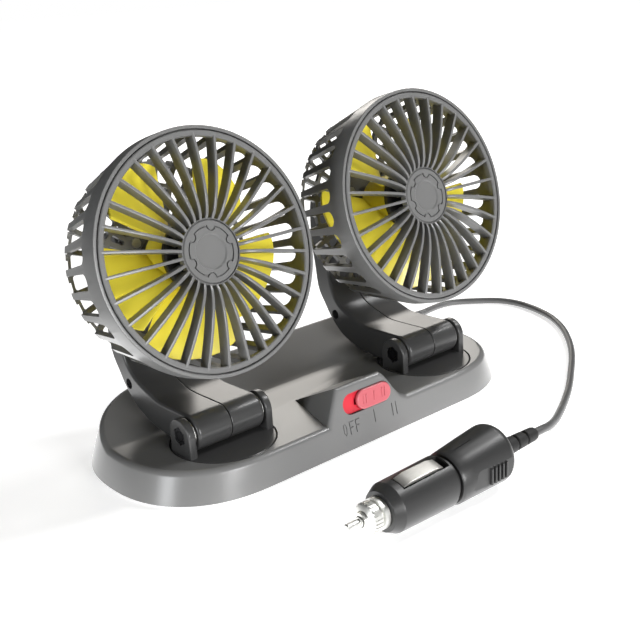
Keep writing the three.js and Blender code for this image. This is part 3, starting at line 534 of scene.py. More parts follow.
def joined(name, pieces):
    pick(*pieces)
    if len(pieces) > 1:
        bpy.ops.object.join()
    piece = bpy.context.object
    piece.name = name
    piece.data.name = name
    return piece


def around(piece, count, start=0, axis="Z"):
    """The piece and its copies, evenly turned about the axis, joined as one."""
    name = piece.name
    ring = [copied(piece, rotation(start + 360 * i / count, axis)) for i in range(count)]
    bpy.data.objects.remove(piece)
    return joined(name, ring)


def carve(piece, cutter, operation="DIFFERENCE"):
    """Cuts or joins another piece, which is then used up."""
    pick(piece)
    change = piece.modifiers.new("carve", "BOOLEAN")
    change.operation = operation
    change.object = cutter
    change.solver = "EXACT"
    bpy.ops.object.modifier_apply(modifier=change.name)
    bpy.data.objects.remove(cutter)
    return piece


def soften(piece, width, segments=2, angle=35):
    """Rounds every edge sharper than the angle."""
    pick(piece)
    change = piece.modifiers.new("soften", "BEVEL")
    change.width = width
    change.segments = segments
    change.limit_method = "ANGLE"
    change.angle_limit = math.radians(angle)
    bpy.ops.object.modifier_apply(modifier=change.name)
    return piece


def finished(piece, finish, body, slot, *nodes):
    """Gives a piece its finish and smooth shading and puts it on its body."""
    pick(piece)
    bpy.ops.object.shade_smooth_by_angle(angle=math.radians(32))
    even = piece.modifiers.new("even_shading", "WEIGHTED_NORMAL")
    even.keep_sharp = True
    bpy.ops.object.modifier_apply(modifier=even.name)
    piece.data.materials.clear()
    piece.data.materials.append(finish)
    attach(piece, body)
    if nodes:
        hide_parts(*nodes)
    return piece


def placed(matrix):
    """A frame's matrix in metres, for a piece drawn in millimetres."""
    return Matrix.Scale(MILLIMETRE, 4) @ matrix


# Shader maths: an expression on values adds its Math nodes
class Value:
    def __init__(self, nodes, output):
        self.nodes = nodes
        self.output = output

    def maths(self, operation, first, second):
        return self.nodes.node("ShaderNodeMath", {"operation": operation}, {0: first, 1: second})

    def __add__(self, other):
        return self.maths("ADD", self, other)

    def __radd__(self, other):
        return self.maths("ADD", other, self)

    def __sub__(self, other):
        return self.maths("SUBTRACT", self, other)

    def __rsub__(self, other):
        return self.maths("SUBTRACT", other, self)

    def __mul__(self, other):
        return self.maths("MULTIPLY", self, other)

    def __rmul__(self, other):
        return self.maths("MULTIPLY", other, self)


class Nodes:
    """A node tree, with one method that adds any node."""
    def __init__(self, tree):
        self.tree = tree

    def node(self, kind, settings=None, inputs=None, output=0):
        made = self.tree.nodes.new(kind)
        for key, value in (settings or {}).items():
            setattr(made, key, value)
        for key, value in (inputs or {}).items():
            self.plug(made.inputs[key], value)
        return Value(self, made.outputs[output])

    def plug(self, socket, value):
        if isinstance(value, Value):
            self.tree.links.new(value.output, socket)
        else:
            socket.default_value = value

    def seen_by(self, ray):
        return self.node("ShaderNodeLightPath", output=f"Is {ray} Ray")


class Finish(Nodes):
    """A material's nodes and its main shader."""
    def __init__(self, name):
        self.material = bpy.data.materials.new(name)
        self.material.use_nodes = True
        super().__init__(self.material.node_tree)
        self.shader = self.tree.nodes["Principled BSDF"]

    def set(self, **sockets):
        for name, value in sockets.items():
            socket = name.replace("_", " ").title().replace("Ior", "IOR")
            self.plug(self.shader.inputs[socket], value)

    def place(self):
        return self.node("ShaderNodeTexCoord", output="Object")

    def noise(self, scale, detail=2.0, place=None):
        inputs = {"Vector": place or self.place(), "Scale": scale, "Detail": detail}
        return self.node("ShaderNodeTexNoise", None, inputs)

    def mix(self, share, first, second):
        inputs = {"Factor": share, 6: first, 7: second}
        return self.node("ShaderNodeMix", {"data_type": "RGBA"}, inputs, output=2)

    def bump(self, height, strength, distance):
        inputs = {"Height": height, "Strength": strength, "Distance": distance}
        return self.node("ShaderNodeBump", None, inputs)


# Finishes
def colour(code):
    """A colour from its usual six figures, as linear light."""
    shares = [int(code[i:i + 2], 16) / 255 for i in (0, 2, 4)]
    linear = [s / 12.92 if s <= 0.04045 else ((s + 0.055) / 1.055) ** 2.4 for s in shares]
    return (*linear, 1.0)


def moulded(name, shade, deeper, roughness, spread=0.02, grain=0.02, specular=0.4, coat=0.0):
    """Moulded plastic: a faint drift of shade and gloss and a fine grain."""
    finish = Finish(name)
    drift = finish.noise(45.0)
    fine = finish.noise(2600.0, 3.0)
    finish.set(
        base_color=finish.mix(drift, colour(shade), colour(deeper)),
        roughness=drift * spread + (roughness - spread / 2),
        specular_ior_level=specular,
        coat_weight=coat,
        coat_roughness=0.12,
        normal=finish.bump(fine, grain, 0.0002),
    )
    return finish.material


def metal(name, shade, deeper, roughness):
    """Plated metal with faint streaks along it."""
    finish = Finish(name)
    along = {"Vector": finish.place(), "Scale": (0.2, 1.0, 1.0)}
    stretch = finish.node("ShaderNodeMapping", None, along)
    streak = finish.noise(1500.0, 3.0, stretch)
    finish.set(
        base_color=finish.mix(streak, colour(shade), colour(deeper)),
        metallic=1.0,
        roughness=streak * 0.12 + (roughness - 0.06),
        normal=finish.bump(streak, 0.04, 0.0001),
    )
    return finish.material


def board_finish():
    """Green lacquer with tracks in a brick pattern."""
    finish = Finish("board_lacquer")
    tracks = finish.node("ShaderNodeTexBrick", None, {
        "Vector": finish.place(), "Scale": 260.0, "Mortar Size": 0.03,
        "Color1": colour("1f5a34"), "Color2": colour("246a3c"), "Mortar": colour("5f9a52"),
    })
    finish.set(base_color=tracks, roughness=0.4)
    return finish.material


def cord_finish():
    finish = Finish("cord_sheath")
    drift = finish.noise(120.0)
    fine = finish.noise(3000.0, 2.0)
    finish.set(
        base_color=finish.mix(drift, colour("4b4b4b"), colour("565656")),
        roughness=drift * 0.1 + 0.4,
        normal=finish.bump(fine, 0.03, 0.0002),
    )
    return finish.material


FINISHES = {
    "grey_housing": moulded("grey_housing", "6e6e6e", "717170", 0.28),
    "dark_plastic": moulded("dark_plastic", "2a2a29", "302f2e", 0.3),
    "black_rubber": moulded("black_rubber", "232323", "292929", 0.6, grain=0.08, specular=0.3),
    "yellow_plastic": moulded("yellow_plastic", "f2e040", "f6e64c", 0.32, coat=0.2),
    "red_plastic": moulded("red_plastic", "c82837", "d22e3e", 0.3),
    "steel": metal("steel", "e2e2de", "c8c8c4", 0.42),
    "blackened_steel": metal("blackened_steel", "2c2c2e", "3a3a3c", 0.4),
    "board": board_finish(),
    "fuse_glass": moulded("fuse_glass", "d8dcd8", "cfd4cf", 0.15),
}
# The arms and turntables are of the housing's grey plastic; this darker copy of it is painted shade,
# standing in for the shade that falls on them under the heads.
ARM_PAINTED_SHADE_FINISH = moulded("arm_grey_painted_shade", "3c3c3c", "404040", 0.28)
KNOB_FINISH = moulded("knob_plastic", "b8565e", "bd6068", 0.32, coat=0.1)
PLUG_FINISH = moulded("plug_plastic", "303030", "353535", 0.36)
CONTACT_FINISH = metal("contact_plate", "e6e4de", "d2d0ca", 0.35)
CORD_FINISH = cord_finish()


# Camera, at the photograph's viewing angle
def make_camera():
    azimuth, elevation = math.radians(CAMERA_AZIMUTH), math.radians(CAMERA_ELEVATION)
    roll = math.radians(CAMERA_ROLL)
    forward = Vector((
        -math.sin(azimuth) * math.cos(elevation),
        math.cos(azimuth) * math.cos(elevation),
        -math.sin(elevation),
    ))
    right = Vector((math.cos(azimuth), math.sin(azimuth), 0))
    up = right.cross(forward)
    right, up = (
        right * math.cos(roll) + up * math.sin(roll),
        up * math.cos(roll) - right * math.sin(roll),
    )
    bpy.ops.object.camera_add()
    camera = bpy.context.object
    view = Matrix((right, up, -forward)).transposed().to_4x4()
    camera.matrix_world = Matrix.Translation(CAMERA_PLACE) @ view
    camera.data.lens = CAMERA_LENS
    camera.data.sensor_width = CAMERA_SENSOR
    bpy.context.scene.camera = camera


def wall_inset(height):
    """How far the draft has drawn the base's wall in at a height."""
    return (height - WALL_FOOT) * tangent(DRAFT_ANGLE)


def wall_front(height):
    return -(HALF_DEPTH - wall_inset(height))


# The cord leaves through the back wall, square to the outline
STRAIGHT_HALF = HALF_LENGTH - HALF_DEPTH
EXIT_INSET = wall_inset(CORD_EXIT_Z)
EXIT_ALONG = (CORD_EXIT_X - STRAIGHT_HALF) / (HALF_DEPTH - EXIT_INSET * END_DRAFT_SHARE)
EXIT_ACROSS = (1 - EXIT_ALONG ** OUTLINE_POWER) ** (1 / OUTLINE_POWER)
CORD_EXIT_Y = (HALF_DEPTH - EXIT_INSET) * EXIT_ACROSS
CORD_EXIT_TURN = -math.atan2(EXIT_ALONG ** (OUTLINE_POWER - 1), EXIT_ACROSS ** (OUTLINE_POWER - 1))
PLUG_END_X = PLUG_X + PLUG_HANDLE_LENGTH + PLUG_RELIEF_LENGTH


def on_cord_exit():
    """A frame in the back wall, with Z along the cord as it leaves."""
    exit_turn = Matrix.Rotation(CORD_EXIT_TURN, 4, "Z")
    return shift(CORD_EXIT_X, CORD_EXIT_Y, CORD_EXIT_Z) @ exit_turn @ rotation(-90, "X")


def cord_way():
    """The cord's points, from the grommet over the floor and on through the sleeve into the handle."""
    reach = GROMMET_LENGTH + SEAT
    start = (
        (CORD_EXIT_X - reach * math.sin(CORD_EXIT_TURN)) * MILLIMETRE,
        (CORD_EXIT_Y + reach * math.cos(CORD_EXIT_TURN)) * MILLIMETRE,
        CORD_EXIT_Z * MILLIMETRE,
    )
    end = ((PLUG_END_X + SEAT) * MILLIMETRE, PLUG_Y * MILLIMETRE, PLUG_Z * MILLIMETRE)
    points = [start, *CORD_ROUTE, end]
    way = spline(points, 6 * (len(points) - 1))
    inner_steps = 8
    for i in range(1, inner_steps + 1):
        way.append((end[0] - CORD_INNER_RUN * MILLIMETRE * i / inner_steps, end[1], end[2]))
    return way


def make_cord():
    """Returns the cord, the point where it leaves the base and its length."""
    way = cord_way()
    curve = bpy.data.curves.new("cord_line", "CURVE")
    curve.dimensions = "3D"
    line = curve.splines.new("POLY")
    line.points.add(len(way) - 1)
    for point, place in zip(line.points, way):
        point.co = (*place, 1)
    line.use_smooth = True
    curve.bevel_depth = CORD_RADIUS * MILLIMETRE
    curve.bevel_resolution = 4
    curve.use_fill_caps = True
    cord = bpy.data.objects.new("power_cord_sheath", curve)
    bpy.context.scene.collection.objects.link(cord)
    curve.materials.append(CORD_FINISH)
    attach(cord, "base")
    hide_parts("power_cord")
    length = sum((Vector(a) - Vector(b)).length for a, b in zip(way, way[1:]))
    return cord, way[0], length


# Base
def base_outline(inset, height, steps=20):
    """The base's plan: straight sides between two blunt, rounded ends."""
    points = []
    for side, start in ((1, -90), (-1, 90)):
        for i in range(2 * steps + 1):
            along, across = polar(1, start + 90 * i / steps)
            along = abs(along) ** (2 / OUTLINE_POWER)
            across = math.copysign(abs(across) ** (2 / OUTLINE_POWER), across)
            x = side * (STRAIGHT_HALF + (HALF_DEPTH - inset * END_DRAFT_SHARE) * along)
            points.append((x, (HALF_DEPTH - inset) * across, height))
    return points


def plinth(name, inset, low, high):
    """The base's plan, drawn up with its draft."""
    foot_inset = inset + wall_inset(low)
    draft = wall_inset(high) - wall_inset(low)
    half_length = HALF_LENGTH - foot_inset * END_DRAFT_SHARE
    half_depth = HALF_DEPTH - foot_inset
    shrink = (1 - draft * END_DRAFT_SHARE / half_length, 1 - draft / half_depth, 1)
    piece = extruded(name, base_outline(foot_inset, low), (0, 0, high - low))
    edit(piece)
    select_faces(piece, lambda centre, normal: normal.z > 0.9)
    bpy.ops.transform.resize(value=shrink, center_override=(0, 0, high))
    object_mode()
    return piece


def above_deck(drop):
    """The space above the deck, flat at the front and climbing at the back."""
    far = 2 * HALF_LENGTH
    level = DECK_Z - drop
    climb = (far - RAMP_START) * tangent(RAMP_ANGLE)
    view = [(-far, level), (RAMP_START, level), (far, level + climb), (far, far), (-far, far)]
    return sideways("above_deck", view, -far, far)


def switch_wedge():
    """The wedge behind the switch: its front view narrows and its roof falls to the back."""
    front = wall_front(DECK_Z)
    back = front + BLOCK_LENGTH
    lead = BLOCK_LENGTH / 2
    floor = DECK_Z - SHELL_WALL
    grown = 1 + (1 - BLOCK_BACK_SHARE) * lead / BLOCK_LENGTH
    shares = [*BLOCK_LEFT, *spline(BLOCK_RIGHT, 20)]
    view = [(u * BLOCK_WIDTH, DECK_Z + v * BLOCK_HEIGHT) for u, v in shares]
    view = [(view[0][0], floor), *view, (view[-1][0], floor)]
    section = [(u * grown, front - lead, z) for u, z in view]
    wedge = extruded("switch_wedge", section, (0, BLOCK_LENGTH + lead, 0))
    edit(wedge)
    select_faces(wedge, lambda centre, normal: normal.y > 0.9)
    shrink = (BLOCK_BACK_SHARE / grown, 1, 1)
    bpy.ops.transform.resize(value=shrink, center_override=(0, back, 0))
    object_mode()
    top = DECK_Z + BLOCK_HEIGHT
    roof = [
        (front - 2 * lead, WALL_FOOT), (back + 1, WALL_FOOT), (back, DECK_Z), (wall_front(top), top),
        (front - 2 * lead, top),
    ]
    return carve(wedge, sideways("wedge_roof", roof, -BLOCK_WIDTH, BLOCK_WIDTH), "INTERSECT")


def slot_outline(length, width, steps=12):
    """A slot with round ends, lying along X."""
    reach = (length - width) / 2
    return [*arc(reach, 0, width / 2, -90, 90, steps), *arc(-reach, 0, width / 2, 90, 270, steps)]


def on_wall(x, height):
    """A frame that lies on the base's front wall, with Z out of it."""
    return shift(x, wall_front(height), height) @ rotation(90 - DRAFT_ANGLE, "X")


def stroke(start, end, width, depth):
    """A straight groove with round ends."""
    length = math.dist(start, end) + width
    lean = math.atan2(end[1] - start[1], end[0] - start[0])
    groove = upright("stroke", slot_outline(length, width, 4), -depth, depth)
    middle = shift((start[0] + end[0]) / 2, (start[1] + end[1]) / 2, 0)
    return moved(groove, middle @ Matrix.Rotation(lean, 4, "Z"))


def switch_marks():
    """The marks sunk under the switch: OFF, then one bar, then two."""
    half = MARK_HEIGHT / 2
    oval = [(x * LETTER_O_SHARE, y) for x, y in arc(0, 0, half, 0, 345, 23)]
    eye = [(x * 0.64, y * 0.84) for x, y in oval]
    ring = upright("letter_o", [(x + LETTER_O_X, y) for x, y in oval], -MARK_DEPTH, MARK_DEPTH)
    core = [(x + LETTER_O_X, y) for x, y in eye]
    carve(ring, upright("letter_o_eye", core, -2 * MARK_DEPTH, 2 * MARK_DEPTH))
    marks = [ring]
    for x in LETTER_F_PLACES:
        marks.append(stroke((x, -half), (x, half), MARK_WIDTH, MARK_DEPTH))
        marks.append(stroke((x, half), (x + 2.2, half), MARK_WIDTH, MARK_DEPTH * 0.9))
        marks.append(stroke((x, 0.2), (x + 1.7, 0.2), MARK_WIDTH, MARK_DEPTH * 0.9))
    for x, rise in BAR_PLACES:
        marks.append(stroke((x, rise - half), (x, rise + half), MARK_WIDTH, MARK_DEPTH))
    return [moved(mark, on_wall(0, MARKS_LEVEL)) for mark in marks]


def soften_rim(body):
    """Rounds the rim where the walls meet the deck, the ramp and the wedge."""
    def is_wall(face):
        foot = min(vertex.co.z for vertex in face.verts)
        return foot < WALL_FOOT + 0.5 and abs(face.normal.z) < 0.5

    def on_rim(edge):
        others = [face for face in edge.link_faces if not is_wall(face)]
        return len(others) == 1 and others[0].normal.z > 0.1

    edit(body)
    bpy.ops.mesh.select_all(action="SELECT")
    bpy.ops.mesh.remove_doubles(threshold=RIM_MERGE)
    select_edges(body, on_rim)
    bpy.ops.mesh.bevel(offset=RIM_ROUND, segments=4, affect="EDGES", clamp_overlap=False)
    object_mode()


def base_hollow():
    """The room inside the base, which stays clear of a cup under each turntable."""
    hollow = plinth("base_hollow", SHELL_WALL, WALL_FOOT - 1, DECK_Z + BLOCK_HEIGHT)
    carve(hollow, above_deck(SHELL_WALL))
    for side in (-1, 1):
        cup = disc("cup", TURNTABLE_RADIUS + TURNTABLE_GAP + SHELL_WALL, CUP_FLOOR, DECK_Z, 64)
        carve(hollow, moved(cup, shift(side * PIVOT_X, PIVOT_Y, 0)))
    return hollow


def make_base():
    body = plinth("base_body", 0, WALL_FOOT, DECK_Z + BLOCK_HEIGHT)
    carve(body, carve(above_deck(0), switch_wedge()))
    soften_rim(body)
    carve(body, base_hollow())
    for side in (-1, 1):
        axis = shift(side * PIVOT_X, PIVOT_Y, DECK_Z)
        pocket = disc("pocket", TURNTABLE_RADIUS + TURNTABLE_GAP, -TURNTABLE_THICKNESS - SEAT, 1, 96)
        carve(body, moved(pocket, axis))
        hole = disc("hub_hole", HUB_RADIUS + SEAT, -3 * SHELL_WALL, 0, 32)
        carve(body, moved(hole, axis))
    recess = upright("recess", slot_outline(RECESS_LENGTH, RECESS_WIDTH), -SWITCH_DEPTH - 1, 1)
    carve(body, moved(recess, on_wall(0, SWITCH_HEIGHT)))
    for mark in switch_marks():
        carve(body, mark)
    hole = disc("cord_hole", GROMMET_NECK + SEAT, -2 * SHELL_WALL, SHELL_WALL, 24)
    carve(body, moved(hole, on_cord_exit()))
    moved(body, placed(Matrix()))
    finished(body, FINISHES["grey_housing"], "base", "grey_housing", "base_shell")


# Switch
def make_switch():
    """The red lining of the recess with the switch's case behind it."""
    outline = slot_outline(RECESS_LENGTH - 2 * SEAT, RECESS_WIDTH - 2 * SEAT)
    lining = upright("switch_lining", outline, LINING_FLOOR, LINING_TOP)
    carve(lining, block("lever_slot", (-6.9, -1.5, -9), (6.7, 1.5, 1)))
    casing = block(
        "switch_case", (-CASE_HALF_LENGTH, -CASE_HALF_WIDTH, -SWITCH_DEPTH),
        (CASE_HALF_LENGTH, CASE_HALF_WIDTH, LINING_FLOOR),
    )
    lining = joined("switch_lining", [lining, soften(casing, 0.3)])
    moved(lining, placed(on_wall(0, SWITCH_HEIGHT)))
    finished(lining, FINISHES["red_plastic"], "base", "red_plastic", "switch_body")


def make_knob():
    """The knob, with its leaning grip bars in front and its stem behind."""
    outline = slot_outline(KNOB_LENGTH, RECESS_WIDTH - 2 * SEAT)
    knob = upright("switch_knob", outline, KNOB_FOOT, KNOB_RISE - 0.3)
    soften(knob, 0.7, 4)
    bars = []
    for group_x, count in KNOB_BARS:
        for i in range(count):
            x = group_x + (i - (count - 1) / 2) * KNOB_BAR_PITCH
            bar = upright("knob_bar", slot_outline(KNOB_BAR_LENGTH, KNOB_BAR_WIDTH, 5), -0.4, KNOB_RISE)
            soften(bar, 0.25, 2)
            bars.append(moved(bar, shift(x, 0, 0) @ rotation(KNOB_BAR_LEAN, "Z")))
    stem = block("knob_stem", (-2.55, -1.2, -4.6), (2.55, 1.2, -0.6))
    knob = joined("switch_knob", [knob, stem, *bars])
    moved(knob, placed(on_wall(KNOB_X, SWITCH_HEIGHT)))
    finished(knob, KNOB_FINISH, "switch_slider", "red_plastic", "switch_slider")


# Turntables
def on_turntable():
    return shift(-PIVOT_X, PIVOT_Y, DECK_Z)


def turntable_ear(side):
    """An ear with its bore and the sink for the bolt's head or the nut."""
    foot = -TURNTABLE_THICKNESS / 2
    view = [(EAR_RADIUS, foot), *arc(0, HINGE_RISE, EAR_RADIUS, 0, 180, 24), (-EAR_RADIUS, foot)]
    low, high = sorted((side * EAR_INNER, side * EAR_OUTER))
    ear = soften(sideways("ear", view, low, high), 0.7, 3)
    corners = 6 if side < 0 else 24
    sink = disc(
        "sink", NUT_RADIUS + SEAT, side * (EAR_OUTER - NUT_SINK), side * (EAR_OUTER + 1), corners, ALONG_X,
    )
    carve(ear, moved(sink, shift(0, 0, HINGE_RISE)))
    bore = disc("bore", BOLT_RADIUS + SEAT, -EAR_OUTER - 1, EAR_OUTER + 1, 24, ALONG_X)
    return carve(ear, moved(bore, shift(0, 0, HINGE_RISE)))


def make_turntable():
    table = turned("left_turntable_disc", [
        (0, HUB_FOOT), (HUB_RADIUS, HUB_FOOT), (HUB_RADIUS, -TURNTABLE_THICKNESS),
        (TURNTABLE_RADIUS, -TURNTABLE_THICKNESS), (TURNTABLE_RADIUS, -TURNTABLE_EDGE),
        (TURNTABLE_RADIUS - TURNTABLE_EDGE, 0), (0, 0),
    ], 96)
    for side in (-1, 1):
        carve(table, turntable_ear(side), "UNION")
    carve(table, disc("tapping", TAPPING_RADIUS, HUB_FOOT - 1, -TURNTABLE_THICKNESS / 2, 16))
    return moved(table, placed(on_turntable()))


# Arms, drawn as a side view about the hinge axis
def on_head_side(depth, up):
    """The place in the side view of a point behind the head's face and up along it."""
    tilt = math.radians(HEAD_TILT)
    face_up = HEAD_HEIGHT - HINGE_RISE
    y = -HEAD_FORWARD + depth * math.cos(tilt) + up * math.sin(tilt)
    return y, face_up - depth * math.sin(tilt) + up * math.cos(tilt)


def on_arm(shares):
    return [(u * ARM_REACH, v * ARM_RISE) for u, v in shares]


def arm_view():
    pad_low = on_head_side(HEAD_DEPTH + SEAT, -MOUNT_PAD_HALF)
    pad_high = on_head_side(HEAD_DEPTH + SEAT, MOUNT_PAD_HALF)
    back = spline([(0, -BARREL_RADIUS), *on_arm(ARM_BACK), pad_high], 48)
    inner = spline([pad_low, *on_arm(ARM_INNER), (0, BARREL_RADIUS)], 40)
    return [*arc(0, 0, BARREL_RADIUS, 90, 270, 20)[1:-1], *back, *inner]


def arm_half(side):
    """One moulded shell of the arm, with a rounded outer edge and a fine edge at the seam."""
    half = BARREL_LENGTH / 2
    seam, outer = side * SEAM_GAP / 2, side * half
    name = "left_arm_left_shell" if side < 0 else "left_arm_right_shell"
    piece = sideways(name, arm_view(), seam, outer)
    edit(piece)
    select_faces(piece, lambda centre, normal: abs(centre.x - outer) < 0.1)
    bpy.ops.mesh.bevel(offset=ARM_EDGE, segments=5, affect="EDGES", clamp_overlap=True)
    select_faces(piece, lambda centre, normal: abs(centre.x - seam) < 0.01)
    bpy.ops.mesh.bevel(offset=SEAM_EDGE, segments=2, affect="EDGES", clamp_overlap=True)
    object_mode()
    carve(piece, disc("bore", BOLT_RADIUS + SEAT, -half - 1, half + 1, 24, ALONG_X))
    if side < 0:
        for y, z in on_arm(ARM_SCREWS):
            sink = disc("screw_sink", ARM_SCREW_RADIUS, -half - 1, ARM_SCREW_DEPTH - half, 24, ALONG_X)
            carve(piece, moved(sink, shift(0, y, z)))
    return moved(piece, placed(on_turntable() @ shift(0, 0, HINGE_RISE)))


# Heads: Z points out of the face, Y up along it
def on_head():
    return shift(-PIVOT_X, PIVOT_Y - HEAD_FORWARD, DECK_Z + HEAD_HEIGHT) @ rotation(90 - HEAD_TILT, "X")


def rounded(points, radius, steps=3):
    """An outline with its corners rounded off."""
    result = []
    count = len(points)
    for i, corner in enumerate(points):
        middle = Vector(corner)
        before = (Vector(points[i - 1]) - middle).normalized()
        after = (Vector(points[(i + 1) % count]) - middle).normalized()
        opening = before.angle(after)
        reach = radius / math.tan(opening / 2)
        start, end = middle + before * reach, middle + after * reach
        centre = middle + (before + after).normalized() * radius / math.sin(opening / 2)
        for k in range(steps + 1):
            way = (start - centre).lerp(end - centre, k / steps).normalized() * radius
            result.append(tuple(centre + way))
    return result


def side_slot(width, flat, corner):
    """A long slot in the cage's side, round at the front and with small corners at the back."""
    front = -RIM_BAND - width / 2
    back = corner - CAGE_CORNER * CAGE_RING_SHARE + 1
    left = arc(1 - width / 2, back, 1, 180, 270, 3)
    right = arc(width / 2 - 1, back, 1, 270, 360, 3)
    outline = [*arc(0, front, width / 2, 0, 180, 10), *left, *right]
    slot = upright("side_slot", outline, flat, HEAD_RADIUS + 1)
    return moved(slot, rotation(90, "X"))


def back_cells(pitch, flat, corner):
    """One wedge of the cage's back: a rounded cell between each two rings."""
    reach = flat + CAGE_CORNER * CAGE_RING_SHARE
    rings = [MOUNT_PLATE_RADIUS, *BACK_RINGS, reach]
    cells = []
    for near, far in zip(rings, rings[1:]):
        low, high = near + BACK_RING_HALF, far - BACK_RING_HALF
        half = [r * math.tan(pitch / 2) - BACK_RIB_WIDTH / 2 for r in (low, high)]
        shape = [(-half[0], low), (half[0], low), (half[1], high), (-half[1], high)]
        outline = rounded(shape, min(half[0] * 0.8, 1.2))
        cells.append(upright("back_cell", outline, -HEAD_DEPTH - 1, corner))
    return joined("back_cells", cells)


def ring_sink(sweep, flat, corner):
    """Between two ribs, the bend of the cage lies a little lower than they do."""
    outer = arc(flat, corner, CAGE_CORNER + 1, -65, -25, 6)
    inner = arc(flat, corner, CAGE_CORNER - CAGE_RING_SINK, -25, -65, 6)
    return sector("ring_sink", [*outer, *inner], 90 - sweep / 2, sweep, 4)


def cage_cutters():
    """The sink, the side slot and the back cells between two ribs, each copied all round."""
    pitch = 2 * math.pi / RIB_COUNT
    width = pitch * CAGE_BACK_RADIUS - RIB_WIDTH
    corner = CAGE_CORNER - HEAD_DEPTH
    flat = CAGE_BACK_RADIUS - CAGE_CORNER
    slot = side_slot(width, flat, corner)
    cells = back_cells(pitch, flat, corner)
    sink = ring_sink(math.degrees(width / CAGE_BACK_RADIUS), flat, corner)
    return [around(cut, RIB_COUNT, 180 / RIB_COUNT) for cut in (sink, slot, cells)]


def make_cage():
    corner = CAGE_CORNER - HEAD_DEPTH
    flat = CAGE_BACK_RADIUS - CAGE_CORNER
    inner = HEAD_RADIUS - CAGE_WALL - SEAT
    ledge = -GRILLE_THICKNESS - SEAT
    lip = HEAD_RADIUS - RIM_WIDTH
    edge = CAGE_EDGE
    floor = CAGE_WALL - HEAD_DEPTH
    cage = turned("left_cage", [
        (0, -HEAD_DEPTH), *arc(flat, corner, CAGE_CORNER, -90, 0, 8), (HEAD_RADIUS, -RIM_BAND),
        (HEAD_RADIUS, -edge), (HEAD_RADIUS - edge * 0.3, -edge * 0.3), (HEAD_RADIUS - edge, 0),
        (lip + edge / 2, 0), (lip, -edge / 2), (lip, ledge), (inner, ledge), (inner, -RIM_BAND),
        *arc(flat, corner, CAGE_CORNER - CAGE_WALL, 0, -90, 8), (0, floor),
    ], 4 * RIB_COUNT)
    for cutter in cage_cutters():
        carve(cage, cutter)
    hole = disc("screw_hole", HEAD_SCREW_RADIUS, -HEAD_DEPTH - 1, floor + 1, 16)
    carve(cage, moved(hole, shift(*HEAD_SCREW_PLACE)))
    soften(cage, 0.3, 2, 40)
    return moved(cage, placed(on_head()))


def grille_fin():
    """One bowed fin, thin in section with a rounded front edge."""
    outer = HEAD_RADIUS - RIM_WIDTH - SEAT
    start = HUB_CAP_RADIUS + 2 * SEAT
    end = outer - GRILLE_RING_WIDTH / 2
    steps = 16
    front = []
    for i in range(steps + 1):
        share = i / steps
        rise = FIN_BOW * math.sin(math.pi * share ** FIN_BOW_SHARE) + 0.25 * (1 - share)
        front.append((start + (end - start) * share, rise))
    back = [(radius, rise - FIN_DEPTH) for radius, rise in front]
    fin = sideways("fin", [*front, *reversed(back)], -FIN_THICKNESS / 2, FIN_THICKNESS / 2)
    return soften(fin, 0.3, 2, 40)


def make_grille():
    outer = HEAD_RADIUS - RIM_WIDTH - 2 * SEAT
    inner = outer - GRILLE_RING_WIDTH
    edge = GRILLE_EDGE
    back = -GRILLE_THICKNESS
    nub = GRILLE_HUB_RADIUS - 0.7
    seat = HUB_CAP_RADIUS + SEAT
    seat_floor = -HUB_CAP_THICKNESS - SEAT
    ring = turned("left_grille", [
        (inner, back), (outer, back), (outer, -edge), (outer - edge, 0), (inner + edge, 0), (inner, -edge),
    ], 4 * RIB_COUNT, closed=True)
    hub = turned("grille_hub", [
        (GRILLE_BORE, back), (nub, back), (nub, -edge), (nub - edge / 2, 0), (seat, 0), (seat, seat_floor),
        (GRILLE_BORE, seat_floor),
    ], 4 * RIB_COUNT, closed=True)
    fins = around(grille_fin(), RIB_COUNT, 180 / RIB_COUNT)
    grille = joined("left_grille", [ring, hub, fins])
    return moved(grille, placed(on_head()))


def notched_outline(reach, notch):
    """The outline of a disc with round notches in its edge."""
    centre = NOTCH_CENTRE
    half = math.degrees(math.acos((reach ** 2 + centre ** 2 - notch ** 2) / (2 * reach * centre)))
    bite = math.degrees(math.acos((notch ** 2 + centre ** 2 - reach ** 2) / (2 * notch * centre)))
    pitch = 360 / NOTCH_COUNT
    outline = []
    for i in range(NOTCH_COUNT):
        turn = pitch * i + NOTCH_TURN
        outline += arc(*polar(centre, turn), notch, turn + 180 + bite, turn + 180 - bite, 10)
        outline += arc(0, 0, reach, turn + half, turn + pitch - half, 8)[1:-1]
    return outline


def make_hub_cap():
    """A round cap with a groove round its notched middle and a shallow dish."""
    back = SEAT - GRILLE_THICKNESS
    edge = HUB_CAP_EDGE
    cap = turned("left_badge", [
        (0, back), (HUB_CAP_STEM, back), (HUB_CAP_STEM, -HUB_CAP_THICKNESS),
        (HUB_CAP_RADIUS, -HUB_CAP_THICKNESS), (HUB_CAP_RADIUS, -edge), (HUB_CAP_RADIUS - edge, 0),
        (DISH_RADIUS, 0), (DISH_RADIUS - DISH_DEPTH, -DISH_DEPTH), (0, -DISH_DEPTH),
    ], 96)
    groove = upright("badge_groove", notched_outline(BADGE_RADIUS, NOTCH_RADIUS), -BADGE_GROOVE_DEPTH, 1)
    inner = notched_outline(BADGE_RADIUS - BADGE_GROOVE, NOTCH_RADIUS + BADGE_GROOVE)
    carve(groove, upright("groove_core", inner, -2, 2))
    carve(cap, groove)
    return moved(cap, placed(on_head()))


